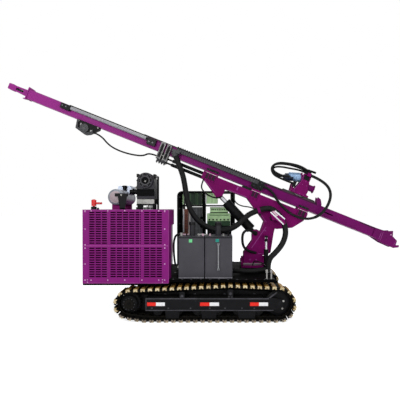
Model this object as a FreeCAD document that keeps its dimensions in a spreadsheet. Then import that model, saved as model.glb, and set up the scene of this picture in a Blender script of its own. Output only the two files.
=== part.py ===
import FreeCAD, Part
import math
import os
import re
from types import SimpleNamespace
from FreeCAD import Placement, Rotation, Vector

# Crawler pile driver with a sloping feed mast, modelled as it stands parked.
# X runs towards the mast foot, Y towards the far track and Z up.

os.makedirs("parts", exist_ok=True)
doc = FreeCAD.newDocument("PileDriver")

# Driving dimensions, in millimetres and degrees
SIZES = {
    # Tracks
    "track_front": 1191,
    "track_outside": 900,
    "shoe_wide": 300,
    "track_middle": "=track_outside - shoe_wide / 2",
    "shoe_pitch": 101.6,
    "shoe_base": 72,
    "shoe_tip": 44,
    "shoe_high": 35,
    "chain_wide": 130,
    "chain_thick": 36,
    "idler_reach": 233,
    "sprocket_reach": 200,
    "sprocket_from_end": 197,
    "top_roller_rise": 30,
    "top_roller_x": 330,
    "rear_roller_x": -301,
    # Track frames
    "beam_rear": -777,
    "beam_low": 150,
    "beam_skirt": 95,
    "beam_top": 316,
    "beam_skin": 14,
    "beam_inside": "=track_middle - 95",
    "beam_outside": "=track_middle + 118",
    "roller_radius": 62,
    "roller_count": 6,
    # Chassis and deck
    "chassis_long": 1660,
    "chassis_wide": "=2 * (track_outside - shoe_wide - 60)",
    "chassis_low": 200,
    "axle_wide": 150,
    "axle_high": 120,
    "deck_rear": -470,
    "deck_front": 920,
    "deck_wide": "=2 * (track_outside - 40)",
    "deck_thick": 30,
    "deck_top": 550,
    "rail_wide": 90,
    "rail_spread": "=chassis_wide - 320",
    # Power pack hood
    "hood_rear": -1594,
    "hood_front": -473,
    "hood_far_front": -640,
    "hood_wide": "=deck_wide + 40",
    "hood_low": 508,
    "hood_top": 1468,
    "hood_skin": 6,
    "hood_side_deep": 262,
    "hood_cowl_deep": 560,
    "hood_cowl_low": 1255,
    "tray_thick": 26,
    "slot_wide": 70,
    "slot_high": 17,
    "slot_pitch_x": 81.5,
    "slot_pitch_z": 30.7,
    "slot_margin": 86,
    "slot_group_gap": 42,
    "slot_low_edge": 80,
    "slot_seam": 36,
    "pack_long": 700,
    "pack_wide": "=hood_wide - 760",
    "pack_high": 720,
    # Things on the hood
    "canister_radius": 106,
    "canister_long": 770,
    "canister_x": -1192,
    "canister_z": 1636,
    "cleaner_x": -805,
    "cleaner_radius": 118,
    "cleaner_z": "=hood_top + 332",
    "cleaner_high": 355,
    "cleaner_deep": 260,
    # Tanks
    "tank_rear": -363,
    "tank_front": 360,
    "tank_split": -12,
    "tank_gap": 8,
    "tank_high": 560,
    "tank_near": "=deck_wide / 2 - 110",
    "tank_deep": 420,
    "neck_radius": 38,
    "neck_high": 150,
    # Open engine bay on the far side
    "canopy_rear": -495,
    "canopy_front": 431,
    "canopy_inside": 270,
    "canopy_outside": "=deck_wide / 2 - 10",
    "canopy_top": 1760,
    "canopy_wall": 80,
    "canopy_step": 1110,
    "canopy_roof": 26,
    "canopy_post": 36,
    "engine_high": 730,
    "engine_long": 370,
    "control_high": 955,
    "cooler_high": 923,
    # Base and column
    "pedestal_high": 48,
    "base_rear": 513,
    "base_front": 863,
    "base_wide": 300,
    "base_thick": 32,
    "lug_thick": 28,
    "lug_wide": 116,
    "roll_z": 700,
    "roll_pin_radius": 26,
    "column_thick": 24,
    "column_inside": 88,
    "tilt_x": 977,
    "tilt_z": 1338,
    "tilt_pin_radius": 34,
    "tilt_boss_radius": 74,
    # Tilt cylinder
    "lift_low_x": 721,
    "lift_low_z": 1111,
    "lift_u": -871,
    "lift_v": 28,
    "lift_barrel_radius": 72,
    "lift_rod_radius": 32,
    "lift_pin_radius": 22,
    "lift_eye_radius": 46,
    "lift_eye_wide": 60,
    # Side cylinder
    "side_x": 873,
    "side_y": -200,
    "side_low_z": 612,
    "side_top_z": 1050,
    "side_barrel_radius": 34,
    "side_rod_radius": 15,
    # Mast, in its own sloping axes
    "mast_slope": 21.8,
    "mast_rear": -4115,
    "mast_front": 1640,
    "mast_low": 300,
    "mast_deep": 146,
    "mast_wide": 150,
    "mast_wall": 9,
    "nose_end": -4452,
    "foot_end": 1930,
    "rail_thick": 14,
    "rail_out": 20,
    "rail_rear": -1780,
    "rail_front": 1240,
    # Carrier
    "carrier_rear": -1218,
    "carrier_front": 470,
    "carrier_low": 140,
    "carrier_top": 288,
    "carrier_edge": 260,
    "carrier_plate": 16,
    "carrier_inside": 100,
    "pad_thick": 11,
    "slide_barrel_radius": 25,
    "slide_rod_radius": 14,
    "slide_low_v": 184,
    "slide_high_v": 245,
    # Head
    "spindle_v": "=mast_low + mast_deep + 194",
    "spindle_radius": 48,
    "spindle_reach": 83,
    "drive_radius": 62,
    "drive_thick": 14,
    "head_inside": 71,
    "head_plate": 18,
    "gear_radius": 66,
    "gear_front": 340,
    "gear_long": 112,
    "motor_slope": 17.5,
    "motor_flange": 66,
    "motor_radius": 58,
    "motor_long": 240,
    # Mast fittings
    "feed_radius": 22,
    "feed_v": 408,
    "feed_y": -104,
    "chain_low_v": 386,
    "chain_top_v": 458,
    "chain_out": 62,
}

# The sheet works out the sizes that follow from others
sheet = doc.addObject("Spreadsheet::Sheet", "Sizes")
for row, (alias, value) in enumerate(SIZES.items(), start=1):
    sheet.set(f"A{row}", alias)
    sheet.set(f"B{row}", str(value))
    sheet.setAlias(f"B{row}", alias)
doc.recompute()
s = SimpleNamespace(**{alias: float(sheet.get(alias)) for alias in SIZES})

# Every place on the mast is worked out in its own sloping axes
slope = math.radians(s.mast_slope)
ALONG_X = Vector(1, 0, 0)
ALONG_Y = Vector(0, 1, 0)
ALONG_Z = Vector(0, 0, 1)
nodes = []


def on_mast(u, v, y=0.0):
    """The place in the machine's axes of a point in the mast's axes."""
    x = s.tilt_x + u * math.cos(slope) + v * math.sin(slope)
    z = s.tilt_z - u * math.sin(slope) + v * math.cos(slope)
    return Vector(x, y, z)


def cells(text):
    """An expression with every word in it turned into a cell of the sheet."""
    return re.sub(r"[a-z][a-z_]{2,}", lambda word: "Sizes." + word.group(0), text)


def tie(item, **texts):
    """Bind properties of an object to expressions of the driving dimensions."""
    for name, text in texts.items():
        item.setExpression(name, cells(text))
    return item


def block(label, corner, length, width, height):
    """A box from its lowest corner, with sizes given as expressions."""
    item = doc.addObject("Part::Box", label)
    item.Placement.Base = Vector(*corner)
    return tie(item, Length=length, Width=width, Height=height)


def bar(label, start, axis, length, radius):
    """A round bar from its start, with sizes given as expressions."""
    item = doc.addObject("Part::Cylinder", label)
    item.Placement = Placement(Vector(*start), Rotation(ALONG_Z, axis))
    return tie(item, Height=length, Radius=radius)


def loop(corners):
    """Closed edges through corners, each an (a, b) pair or (a, b, radius)."""
    points = [Vector(c[0], c[1], 0) for c in corners]
    radii = [c[2] if len(c) > 2 else 0 for c in corners]
    starts, ends, arcs = [], [], []
    for i, point in enumerate(points):
        before = (points[i - 1] - point).normalize()
        after = (points[(i + 1) % len(points)] - point).normalize()
        if not radii[i]:
            starts.append(point)
            ends.append(point)
            arcs.append(None)
            continue
        half = before.getAngle(after) / 2
        reach = radii[i] / math.tan(half)
        middle = point + (before + after).normalize() * (radii[i] / math.sin(half) - radii[i])
        starts.append(point + before * reach)
        ends.append(point + after * reach)
        arcs.append(Part.Arc(starts[-1], middle, ends[-1]))
    edges = []
    for i in range(len(points)):
        following = (i + 1) % len(points)
        if arcs[i]:
            edges.append(arcs[i])
        if ends[i].distanceToPoint(starts[following]) > 1e-6:
            edges.append(Part.LineSegment(ends[i], starts[following]))
    return edges


def ring(a, b, radius):
    """A round edge for a sketch."""
    return [Part.Circle(Vector(a, b, 0), ALONG_Z, radius)]


# The outlines of the mast's two ends, and the shift that puts the frame's origin
# at the ground below the middle of the overall length
mast_top = s.mast_low + s.mast_deep
nose_tip_outline = [
    (s.mast_rear - 14, s.mast_low + 26), (s.mast_rear - 14, s.mast_low + 128),
    (s.nose_end + 90, s.mast_low + 124, 20), (s.nose_end + 76, s.mast_low + 132, 8),
    (s.nose_end, s.mast_low + 128, 12), (s.nose_end, s.mast_low + 40, 12),
    (s.nose_end + 76, s.mast_low + 38, 8),
    (s.nose_end + 90, s.mast_low + 46, 20)]
tip = s.foot_end
foot_outline = [
    (tip - 430, mast_top - 2), (tip - 266, mast_top + 6, 6), (tip - 167, mast_top + 51, 4),
    (tip - 142, mast_top - 28, 12),
    (tip - 58, mast_top - 66, 6), (tip - 52, mast_top - 137, 6), (tip - 5, mast_top - 117, 5),
    (tip, mast_top - 150, 5),
    (tip - 73, s.mast_low - 43, 8), (tip - 250, s.mast_low - 36, 20), (tip - 350, s.mast_low - 14, 30),
    (tip - 430, s.mast_low + 2)]


def span_in_x(outline):
    """The lowest and highest X of an outline on the mast."""
    wire = Part.Wire([edge.toShape() for edge in loop(outline)])
    wire.rotate(Vector(), ALONG_Z, -s.mast_slope)
    return s.tilt_x + wire.BoundBox.XMin, s.tilt_x + wire.BoundBox.XMax


rear_limit = span_in_x(nose_tip_outline)[0]
front_limit = span_in_x(foot_outline)[1]
shift = Vector(-(rear_limit + front_limit) / 2, 0, 0)
machine = Placement(shift, Rotation())
mast_axes = Placement(shift + on_mast(0, 0), Rotation(ALONG_Y, s.mast_slope))
to_mast = Placement(on_mast(0, 0), Rotation(ALONG_Y, s.mast_slope)).inverse()


def plate(label, outlines, thick, middle=(0, 0, 0), plane="XZ_Plane"):
    """A flat plate padded both ways from a sketch, with its thickness an expression."""
    body = doc.addObject("PartDesign::Body", label)
    sketch = body.newObject("Sketcher::SketchObject", label + "_sketch")
    base = [f for f in body.Origin.OriginFeatures if f.Role == plane][0]
    sketch.AttachmentSupport = [(base, "")]
    sketch.MapMode = "FlatFace"
    for outline in outlines:
        sketch.addGeometry(outline)
    pad = body.newObject("PartDesign::Pad", label + "_pad")
    pad.Profile = sketch
    pad.SideType = "Symmetric"
    tie(pad, Length=thick)
    body.Placement.Base = Vector(*middle)
    return body


def joined(label, *items):
    """One piece welded from several."""
    item = doc.addObject("Part::MultiFuse", label)
    item.Shapes = list(items)
    return item


def together(label, *items):
    """Like pieces that stand apart, kept as one group of solids."""
    item = doc.addObject("Part::Compound", label)
    item.Links = list(items)
    return item


def less(label, base, *tools):
    """A piece with others cut out of it."""
    item = doc.addObject("Part::Cut", label)
    item.Base = base
    item.Tool = tools[0] if len(tools) == 1 else together(label + "_tools", *tools)
    return item


def mirrored(label, source):
    """The same piece on the other side of the machine's middle plane."""
    item = doc.addObject("Part::Mirroring", label)
    item.Source = source
    item.Normal = ALONG_Y
    return item


def keep_mirror(label, source):
    """Add the same piece on the other side, from one that is in its place."""
    item = mirrored(label, source)
    nodes.append(item)
    return item


def made(label, shape):
    """A piece whose shape is worked out from the driving dimensions."""
    item = doc.addObject("Part::Feature", label)
    item.Shape = shape
    return item


def keep(item, axes=machine):
    """Add a finished piece to the part, in the machine's or the mast's axes."""
    item.Placement = axes.multiply(item.Placement)
    nodes.append(item)
    return item


def hose_shape(points, radius):
    """A tube of straight runs joined by tangent arcs as large as the runs allow."""
    points = [Vector(*p) for p in points]
    edges = []
    radii = []
    last = points[0]
    for i in range(1, len(points) - 1):
        before = points[i - 1] - points[i]
        after = points[i + 1] - points[i]
        half_turn = (math.pi - before.getAngle(after)) / 2
        reach = 0.45 * min(before.Length, after.Length)
        bend = reach / math.tan(half_turn)
        radii.append(round(bend))
        before.normalize()
        after.normalize()
        start = points[i] + before * reach
        end = points[i] + after * reach
        toward = (before + after).normalize()
        middle = points[i] + toward * (bend / math.cos(half_turn) - bend)
        edges.append(Part.LineSegment(last, start).toShape())
        edges.append(Part.Arc(start, middle, end).toShape())
        last = end
    edges.append(Part.LineSegment(last, points[-1]).toShape())
    path = Part.Wire(edges)
    section = Part.Wire(Part.makeCircle(radius, points[0], points[1] - points[0]))
    tube = path.makePipeShell([section], True, True)
    share = tube.Volume / (math.pi * radius**2 * path.Length)
    print("hose radii", radii, "length", round(path.Length), "volume share", round(share, 3))
    return tube


# Tracks
idler_x = s.track_front - s.idler_reach
sprocket_x = -s.track_front + s.sprocket_from_end
idler_z = s.idler_reach
sprocket_z = s.idler_reach
track_y = -s.track_outside + s.shoe_wide / 2


def track_path():
    """The track's inner face, as tangent lines and arcs round its two wheels."""
    cover = s.shoe_high + s.chain_thick
    idler_r = s.idler_reach - cover
    sprocket_r = s.sprocket_reach - cover
    crown = Vector(s.top_roller_x, 0, idler_z + idler_r + s.top_roller_rise)
    idler = Vector(idler_x, 0, idler_z)
    sprocket = Vector(sprocket_x, 0, sprocket_z)
    ground = Vector(sprocket_x + s.sprocket_reach, 0, cover)

    def touch(point, wheel, radius, side):
        """The point where a line from a point outside touches a wheel."""
        away = point - wheel
        turn = math.acos(radius / away.Length)
        angle = math.atan2(away.z, away.x) + side * turn
        return wheel + Vector(radius * math.cos(angle), 0, radius * math.sin(angle))

    front_top = touch(crown, idler, idler_r, -1)
    rear_top = touch(crown, sprocket, sprocket_r, 1)
    rear_low = touch(ground, sprocket, sprocket_r, -1)
    front_low = idler + Vector(0, 0, -idler_r)
    front_mid = idler + Vector(idler_r, 0, 0)
    rear_mid = sprocket + Vector(-sprocket_r, 0, 0)
    return Part.Wire([
        Part.LineSegment(crown, front_top).toShape(),
        Part.Arc(front_top, front_mid, front_low).toShape(),
        Part.LineSegment(front_low, ground).toShape(),
        Part.LineSegment(ground, rear_low).toShape(),
        Part.Arc(rear_low, rear_mid, rear_top).toShape(),
        Part.LineSegment(rear_top, crown).toShape(),
    ])


def track_shape():
    """One closed track, its chain and its shoes in one solid."""
    inner = track_path()
    middle = inner.makeOffset2D(s.chain_thick / 2)
    outer = inner.makeOffset2D(s.chain_thick)
    chain = Part.Face(outer).cut(Part.Face(inner)).extrude(Vector(0, s.chain_wide, 0))
    chain.translate(Vector(0, track_y - s.chain_wide / 2, 0))
    count = round(middle.Length / s.shoe_pitch)
    seat = s.chain_thick / 2
    near = -s.shoe_wide / 2
    shoe = Part.Face(Part.Wire(Part.makePolygon([
        Vector(-s.shoe_base / 2, near, seat - shoe_bite),
        Vector(s.shoe_base / 2, near, seat - shoe_bite),
        Vector(s.shoe_tip / 2, near, seat + s.shoe_high),
        Vector(-s.shoe_tip / 2, near, seat + s.shoe_high),
        Vector(-s.shoe_base / 2, near, seat - shoe_bite),
    ]))).extrude(Vector(0, s.shoe_wide, 0))
    shoes = []
    points = middle.discretize(Number=count + 1)[:-1]
    for i, point in enumerate(points):
        along = points[(i + 1) % count] - points[i - 1]
        angle = math.degrees(math.atan2(-along.z, along.x))
        turn = Rotation(ALONG_Y, angle)
        if turn.multVec(ALONG_Z).dot(point - Vector(0, 0, s.idler_reach)) < 0:
            turn = Rotation(ALONG_Y, angle + 180)
        copy = shoe.copy()
        copy.Placement = Placement(point + Vector(0, track_y, 0), turn)
        shoes.append(copy)
    return chain.multiFuse(shoes).removeSplitter()


def turned(profile):
    """A round solid about the Y axis, from (distance along, radius) steps."""
    start, end = profile[0][0], profile[-1][0]
    points = [Vector(0, start, 0)]
    points += [Vector(radius, along, 0) for along, radius in profile]
    points += [Vector(0, end, 0), points[0]]
    face = Part.Face(Part.Wire(Part.makePolygon(points)))
    return face.revolve(Vector(), ALONG_Y, 360)


def at(shape, x, y, z):
    """A shape moved to a place."""
    shape.translate(Vector(x, y, z))
    return shape


# Tracks, the same on both sides
shoe_bite = 6
track_solid = track_shape()
ground_rise = -track_solid.BoundBox.ZMin
track_solid.translate(Vector(0, 0, ground_rise))
idler_z += ground_rise
sprocket_z += ground_rise
track_right = keep(made("track_right", track_solid))
track_left = keep_mirror("track_left", track_right)

# Track frames, with guards below and roller brackets above
beam_nose = 60
guard_low = 48
guards = [(s.beam_rear + 255, 190), (s.beam_rear + 725, 205), (s.beam_rear + 1205, 232)]
wheel_gap = 0.5
track_inner = s.shoe_high + s.chain_thick
inside_face = -s.beam_inside
outside_face = -s.beam_outside
between = s.beam_outside - s.beam_inside - 2 * s.beam_skin
bracket_thick = 24
top_roller_radius = 36
axle_radius = 20


def top_run(x):
    """Height of the track's inner face along its upper run."""
    crown_z = idler_z + s.idler_reach - track_inner + s.top_roller_rise
    sprocket_top = sprocket_z + s.sprocket_reach - track_inner
    share = (x - sprocket_x) / (s.top_roller_x - sprocket_x)
    return sprocket_top + (crown_z - sprocket_top) * share


def guard_steps(low):
    """The lower edge of a beam plate, with its guards standing down."""
    steps = []
    for start, long in guards:
        steps += [(start, low), (start + 12, guard_low), (start + long - 12, guard_low), (start + long, low)]
    return steps


def front_end():
    """The end of a beam plate that holds the idler's axle."""
    end = idler_x + beam_nose
    return [(end, idler_z - 66, 30), (end, idler_z + 50, 30), (idler_x - 60, s.beam_top)]


outer_loop = loop([(s.beam_rear, s.beam_low)] + guard_steps(s.beam_low) + front_end()
                  + [(s.beam_rear, s.beam_top, 20)])
inner_rear = sprocket_x - 112
inner_loop = loop([(inner_rear, sprocket_z - 70, 30), (s.beam_rear, s.beam_skirt)] + guard_steps(s.beam_skirt)
                  + [(idler_x - 90, s.beam_skirt)] + front_end()
                  + [(s.beam_rear, s.beam_top), (inner_rear, sprocket_z + 70, 30)])
beam_outer = plate("beam_outer", [outer_loop], "beam_skin", (0, outside_face + s.beam_skin / 2, 0))
beam_inner = plate("beam_inner", [inner_loop], "beam_skin", (0, inside_face - s.beam_skin / 2, 0))
beam_lid = block("beam_lid", (s.beam_rear, outside_face + s.beam_skin, s.beam_top - s.beam_skin),
                 str(idler_x - s.idler_reach + 30 - s.beam_rear),
                 "beam_outside - beam_inside - 2 * beam_skin", "beam_skin")
brackets = []
for x in (s.rear_roller_x, s.top_roller_x):
    rise = top_run(x) - wheel_gap - top_roller_radius - s.beam_top + axle_radius + 14
    name = "roller_bracket_" + str(len(brackets))
    bracket = block(name, (x - 34, outside_face, s.beam_top), "68", str(bracket_thick), str(rise))
    brackets.append(bracket)
beam_right = keep(joined("track_beam_right", beam_outer, beam_inner, beam_lid, *brackets))
beam_left = keep_mirror("track_beam_left", beam_right)


def roller_shape():
    """Every roller of one track, between the plates of its frame."""
    rollers = []
    plate_in = outside_face + s.beam_skin
    middle = track_y - plate_in
    low = s.chain_wide / 2 - 4
    profile = [(0, axle_radius), (middle - low, axle_radius), (middle - low, s.roller_radius),
               (middle + low, s.roller_radius), (middle + low, axle_radius), (between, axle_radius)]
    first, last = s.beam_rear + 150, idler_x - 265
    for i in range(int(s.roller_count)):
        x = first + (last - first) * i / (s.roller_count - 1)
        z = track_inner + ground_rise + wheel_gap + s.roller_radius
        rollers.append(at(turned(profile), x, plate_in, z))
    reach = middle + low - bracket_thick + s.beam_skin
    top = [(0, axle_radius), (14, axle_radius), (14, top_roller_radius), (reach, top_roller_radius)]
    for x in (s.rear_roller_x, s.top_roller_x):
        z = top_run(x) - wheel_gap - top_roller_radius - 1
        rollers.append(at(turned(top), x, outside_face + bracket_thick, z))
    return Part.Compound(rollers)


rollers_right = keep(made("rollers_right", roller_shape()))
rollers_left = keep_mirror("rollers_left", rollers_right)

sprocket_inner = s.sprocket_reach - track_inner - wheel_gap
motor_radius = 102
sprocket_steps = [(0, 80), (12, motor_radius), (60, motor_radius), (60, sprocket_inner),
                  (104, sprocket_inner),
                  (104, motor_radius), (178, motor_radius), (196, 84)]
sprocket_right = keep(made("sprocket_right", at(turned([(-a, r) for a, r in sprocket_steps]),
                                                sprocket_x, inside_face - s.beam_skin, sprocket_z)))
sprocket_left = keep_mirror("sprocket_left", sprocket_right)

idler_inner = s.idler_reach - track_inner - wheel_gap
idler_steps = [(0, 24), (22, 24), (22, 56), (50, 56), (50, 128), (62, idler_inner), (124, idler_inner),
               (136, 128), (136, 56), (163, 56), (163, 24), (between, 24)]
idler_right = keep(made("idler_right", at(turned([(-a, r) for a, r in idler_steps]),
                                          idler_x, inside_face - s.beam_skin, idler_z)))
idler_left = keep_mirror("idler_left", idler_right)

# Chassis between the tracks, with its axles, and the deck on it
tray_low = s.hood_low - s.tray_thick
half_chassis = s.chassis_long / 2
chassis_body = plate("chassis_body", [loop([
    (-half_chassis, s.chassis_low + 60), (-half_chassis + 80, s.chassis_low),
    (half_chassis - 80, s.chassis_low), (half_chassis, s.chassis_low + 60),
    (half_chassis, s.deck_top - s.deck_thick), (s.deck_rear, s.deck_top - s.deck_thick),
    (s.deck_rear, tray_low), (-half_chassis, tray_low)])], "chassis_wide")
axles = []
for x in (-520, 480):
    axle = block("axle_" + str(len(axles)), (x - s.axle_wide / 2, -s.beam_inside, 188),
                 "axle_wide", "2 * beam_inside", "axle_high")
    axles.append(axle)
chassis = keep(joined("chassis_frame", chassis_body, *axles))
deck_plate = block("deck_plate", (s.deck_rear, -s.deck_wide / 2, s.deck_top - s.deck_thick),
                   "deck_front - deck_rear", "deck_wide", "deck_thick")
pedestal = block("pedestal", (s.base_rear - 14, -160, s.deck_top), "base_front - base_rear + 28", "320",
                 "pedestal_high")
port_x, port_y, port_high = 889, -300, 50
hose_port = block("hose_port", (port_x - 50, port_y - 50, s.deck_top), "100", "100", str(port_high))
deck = keep(joined("deck", deck_plate, pedestal, hose_port))
rails = []
for side in (-1, 1):
    y = side * s.rail_spread / 2 - s.rail_wide / 2
    rails.append(block("rear_rail_" + str(len(rails)), (s.hood_rear + 30, y, tray_low - 84),
                       "-chassis_long / 2 - hood_rear - 30", "rail_wide", "84"))
hood_tray = block("hood_tray", (s.hood_rear, -s.hood_wide / 2 + 8, tray_low),
                  "hood_front - hood_rear", "hood_wide - 16", "tray_thick")
rear_frame = keep(joined("rear_frame", hood_tray, *rails))

# Power pack hood, set back on its far side, with a grille on each side
grille_y = s.hood_wide / 2 - s.hood_skin
hood_step = s.hood_side_deep - grille_y
hood_middle = (0, 0, (s.hood_low + s.hood_top) / 2)
skin = s.hood_skin


def hood_plan(inset):
    """The hood's plan, moved inwards by an inset."""
    return loop([(s.hood_rear + inset, -grille_y), (s.hood_front - inset, -grille_y),
                 (s.hood_front - inset, hood_step - inset), (s.hood_far_front - inset, hood_step - inset),
                 (s.hood_far_front - inset, grille_y), (s.hood_rear + inset, grille_y)])


def cowl(label, inset):
    """The upper part of the hood that reaches further in over the step."""
    start = s.hood_far_front - 2 * skin
    return block(label, (start, -grille_y, s.hood_cowl_low + inset), str(s.hood_front - inset - start),
                 str(s.hood_cowl_deep - inset), str(s.hood_top - s.hood_cowl_low - 2 * inset))


shell = joined("hood_shell", cowl("cowl_shell", 0),
               plate("plan_shell", [hood_plan(0)], "hood_top - hood_low", hood_middle, "XY_Plane"))
room_middle = (0, 0, hood_middle[2] - skin)
room = joined("hood_room", cowl("cowl_room", skin),
              plate("plan_room", [hood_plan(skin)], "hood_top - hood_low", room_middle, "XY_Plane"))
hood = keep(less("hood", shell, room))
rows_low, rows_high = 13, 14


def grille(label, side, front, groups):
    """One grille panel, its rows of slots in three groups of columns."""
    outlines = [loop([(s.hood_rear, s.hood_low), (front, s.hood_low), (front, s.hood_top),
                      (s.hood_rear, s.hood_top)])]
    right = s.hood_rear + s.slot_margin - s.slot_group_gap
    for columns in groups:
        left = right + s.slot_group_gap
        right = left + (columns - 1) * s.slot_pitch_x + s.slot_wide
        for row in range(rows_low + rows_high):
            z = s.hood_low + s.slot_low_edge + row * s.slot_pitch_z + (s.slot_seam if row >= rows_low else 0)
            outlines.append(loop([(left, z), (right, z), (right, z + s.slot_high), (left, z + s.slot_high)]))
    middle = (0, side * (grille_y + s.hood_skin / 2), 0)
    return keep(plate(label, outlines, "hood_skin", middle))


grille_right = grille("grille_right", -1, s.hood_front, (3, 5, 3))
grille_left = grille("grille_left", 1, s.hood_far_front, (3, 3, 3))
power_pack = keep(block("power_pack", (s.hood_rear + 194, -s.pack_wide / 2, s.hood_low), "pack_long",
                        "pack_wide",
                        "pack_high"))

# Silver canister lying across the hood, on its saddles
canister_near = 90 - s.hood_wide / 2
canister_far = canister_near + s.canister_long
dome = 26
canister = keep(made("canister", at(turned([
    (0, s.canister_radius - dome), (dome / 2, s.canister_radius - 6), (dome, s.canister_radius),
    (s.canister_long - dome, s.canister_radius), (s.canister_long - dome / 2, s.canister_radius - 6),
    (s.canister_long, s.canister_radius - dome)]), s.canister_x, canister_near, s.canister_z)))
saddles = []
for y in (canister_near + 60, canister_far - 120):
    saddles.append(block("saddle_" + str(len(saddles)), (s.canister_x - 60, y, s.hood_top), "120", "60",
                         "canister_z - hood_top"))
hollow = bar("saddle_hollow", (s.canister_x, canister_near - 5, s.canister_z), ALONG_Y,
             "canister_long + 10", "canister_radius + 0.3")
canister_stand = keep(less("canister_stand", together("saddle_pair", *saddles), hollow))

# Air cleaner on its legs, with the round port facing out
cleaner_top = s.cleaner_z + 165
cleaner_low = cleaner_top - s.cleaner_high
cleaner_near = 160 - s.hood_wide / 2
cleaner_body = plate("cleaner_body", [loop([
    (s.cleaner_x - s.cleaner_radius, cleaner_low), (s.cleaner_x + s.cleaner_radius, cleaner_low),
    (s.cleaner_x + s.cleaner_radius, cleaner_top, s.cleaner_radius - 2),
    (s.cleaner_x - s.cleaner_radius, cleaner_top, s.cleaner_radius - 2)])], "cleaner_deep",
    (0, cleaner_near + s.cleaner_deep / 2, 0))
port = bar("cleaner_port", (s.cleaner_x, cleaner_near - 34, s.cleaner_z + 56), ALONG_Y, "60", "97")
port_bore = bar("cleaner_bore", (s.cleaner_x, cleaner_near - 40, s.cleaner_z + 56), ALONG_Y, "90", "43")
air_cleaner = keep(less("air_cleaner", joined("cleaner_solid", cleaner_body, port), port_bore))
legs = []
for x in (s.cleaner_x - 108, s.cleaner_x + 84):
    legs.append(block("cleaner_leg_" + str(len(legs)), (x, cleaner_near + 20, s.hood_top), "24", "220", "80"))
band = block("cleaner_band", (s.cleaner_x - 114, cleaner_near + 10, s.hood_top + 70), "228", "240",
             str(cleaner_low - s.hood_top - 70))
cleaner_plate = block("cleaner_plate", (-650, cleaner_near - 5, s.hood_top), "8", "120", "450")
cleaner_stand = keep(together("cleaner_stand", joined("cleaner_band_legs", band, *legs), cleaner_plate))

# Red isolator valve at the corner of the hood
valve_x = s.hood_rear + 121
valve_y = 80 - s.hood_wide / 2
valve_stem = bar("valve_stem", (valve_x, valve_y, s.hood_top), ALONG_Z, "70", "16")
valve_head = bar("valve_head", (valve_x, valve_y, s.hood_top + 48), ALONG_Z, "70", "32")
valve_lever = block("valve_lever", (valve_x, valve_y - 8, s.hood_top + 74), "108", "16", "18")
red_valve = keep(joined("red_valve", valve_stem, valve_head, valve_lever))

# Two grey tanks with their fillers and a sight tube
tank_y = -s.tank_near
tank_top = s.deck_top + s.tank_high


def tank(label, rear, front):
    """One tank, standing on the deck, with its upright edges rounded."""
    body = plate(label + "_body", [loop([(rear, tank_y, 14), (front, tank_y, 14),
                                         (front, tank_y + s.tank_deep, 14),
                                         (rear, tank_y + s.tank_deep, 14)])],
                 "tank_high", (0, 0, s.deck_top + s.tank_high / 2), "XY_Plane")
    body.Label = label
    return keep(body)


hydraulic_tank = tank("hydraulic_tank", s.tank_rear, s.tank_split - s.tank_gap / 2)
fuel_tank = tank("fuel_tank", s.tank_split + s.tank_gap / 2, s.tank_front)
necks = []
for x in (s.tank_rear + 176, s.tank_front - 193):
    neck = bar("neck_" + str(len(necks)), (x, tank_y + 150, tank_top), ALONG_Z, "neck_high", "neck_radius")
    cap = bar("cap_" + str(len(necks)), (x, tank_y + 150, tank_top + s.neck_high), ALONG_Z, "40",
              "neck_radius + 5")
    necks.append(joined("filler_" + str(len(necks)), neck, cap))
filler_necks = keep(together("filler_necks", *necks))
sight_x = s.tank_front - 188
sight_tube = bar("sight_tube", (sight_x, tank_y - 18, s.deck_top + 130), ALONG_Z, "320", "10")
sight_ends = [block("sight_end_" + str(i), (sight_x - 16, tank_y - 30, z), "32", "30", "26")
              for i, z in enumerate((s.deck_top + 112, s.deck_top + 444))]
sight_gauge = keep(joined("sight_gauge", sight_tube, *sight_ends))

# Open engine bay on the far side
canopy_deep = s.canopy_outside - s.canopy_inside
canopy_y = (s.canopy_outside + s.canopy_inside) / 2
sill = 20
room_left = s.canopy_rear + s.canopy_wall
room_right = s.canopy_front - 60
foot_right = room_right + 3
room_top = s.canopy_top - s.canopy_roof
canopy_ring = plate("canopy_ring", [
    loop([(s.canopy_rear, s.deck_top), (foot_right, s.deck_top), (foot_right, s.canopy_step),
          (s.canopy_front, s.canopy_step + 60), (s.canopy_front, s.canopy_top, 20),
          (s.canopy_rear, s.canopy_top, 80)]),
    loop([(room_left, s.deck_top + sill), (foot_right - 15, s.deck_top + sill),
          (foot_right - 15, s.canopy_step + 4), (room_right, s.canopy_step + 64), (room_right, room_top),
          (room_left, room_top, 40)])], "canopy_outside - canopy_inside", (0, canopy_y, 0))
post_x = -90
post_deep = 50
posts = [block("canopy_post_" + str(i), (post_x, y, s.deck_top + sill / 2), "canopy_post", str(post_deep),
               str(s.canopy_top - s.deck_top - sill))
         for i, y in enumerate((s.canopy_inside, s.canopy_outside - post_deep))]
bar_z = room_top - 221
mid_bar = block("canopy_bar", (room_left - 5, s.canopy_inside, bar_z), str(room_right - room_left + 10),
                "30", "24")
canopy = keep(joined("engine_canopy", canopy_ring, mid_bar, *posts))
engine_low = s.deck_top + sill
engine_top = s.deck_top + s.engine_high
engine_x = -15
engine_y = s.canopy_inside + 70
engine_deep = canopy_deep - 155
head_high = 120
engine_block = keep(block("engine_block", (engine_x, engine_y, engine_low), "engine_long", str(engine_deep),
                          str(engine_top - engine_low)))
engine_head = block("engine_head", (engine_x, engine_y, engine_top), "engine_long", str(engine_deep),
                    str(head_high))
engine_lid = block("engine_lid", (engine_x + 45, engine_y + 20, engine_top + head_high), "engine_long - 80",
                   str(engine_deep - 65), "104")
box_y = s.canopy_inside + 44
roof_boxes = [block("roof_box_" + str(i), (start, box_y, room_top - high), str(long), str(canopy_deep - 180),
                    str(high))
              for i, (start, long, high) in enumerate([(-307, 205, 194), (-46, 200, 172)])]
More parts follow.
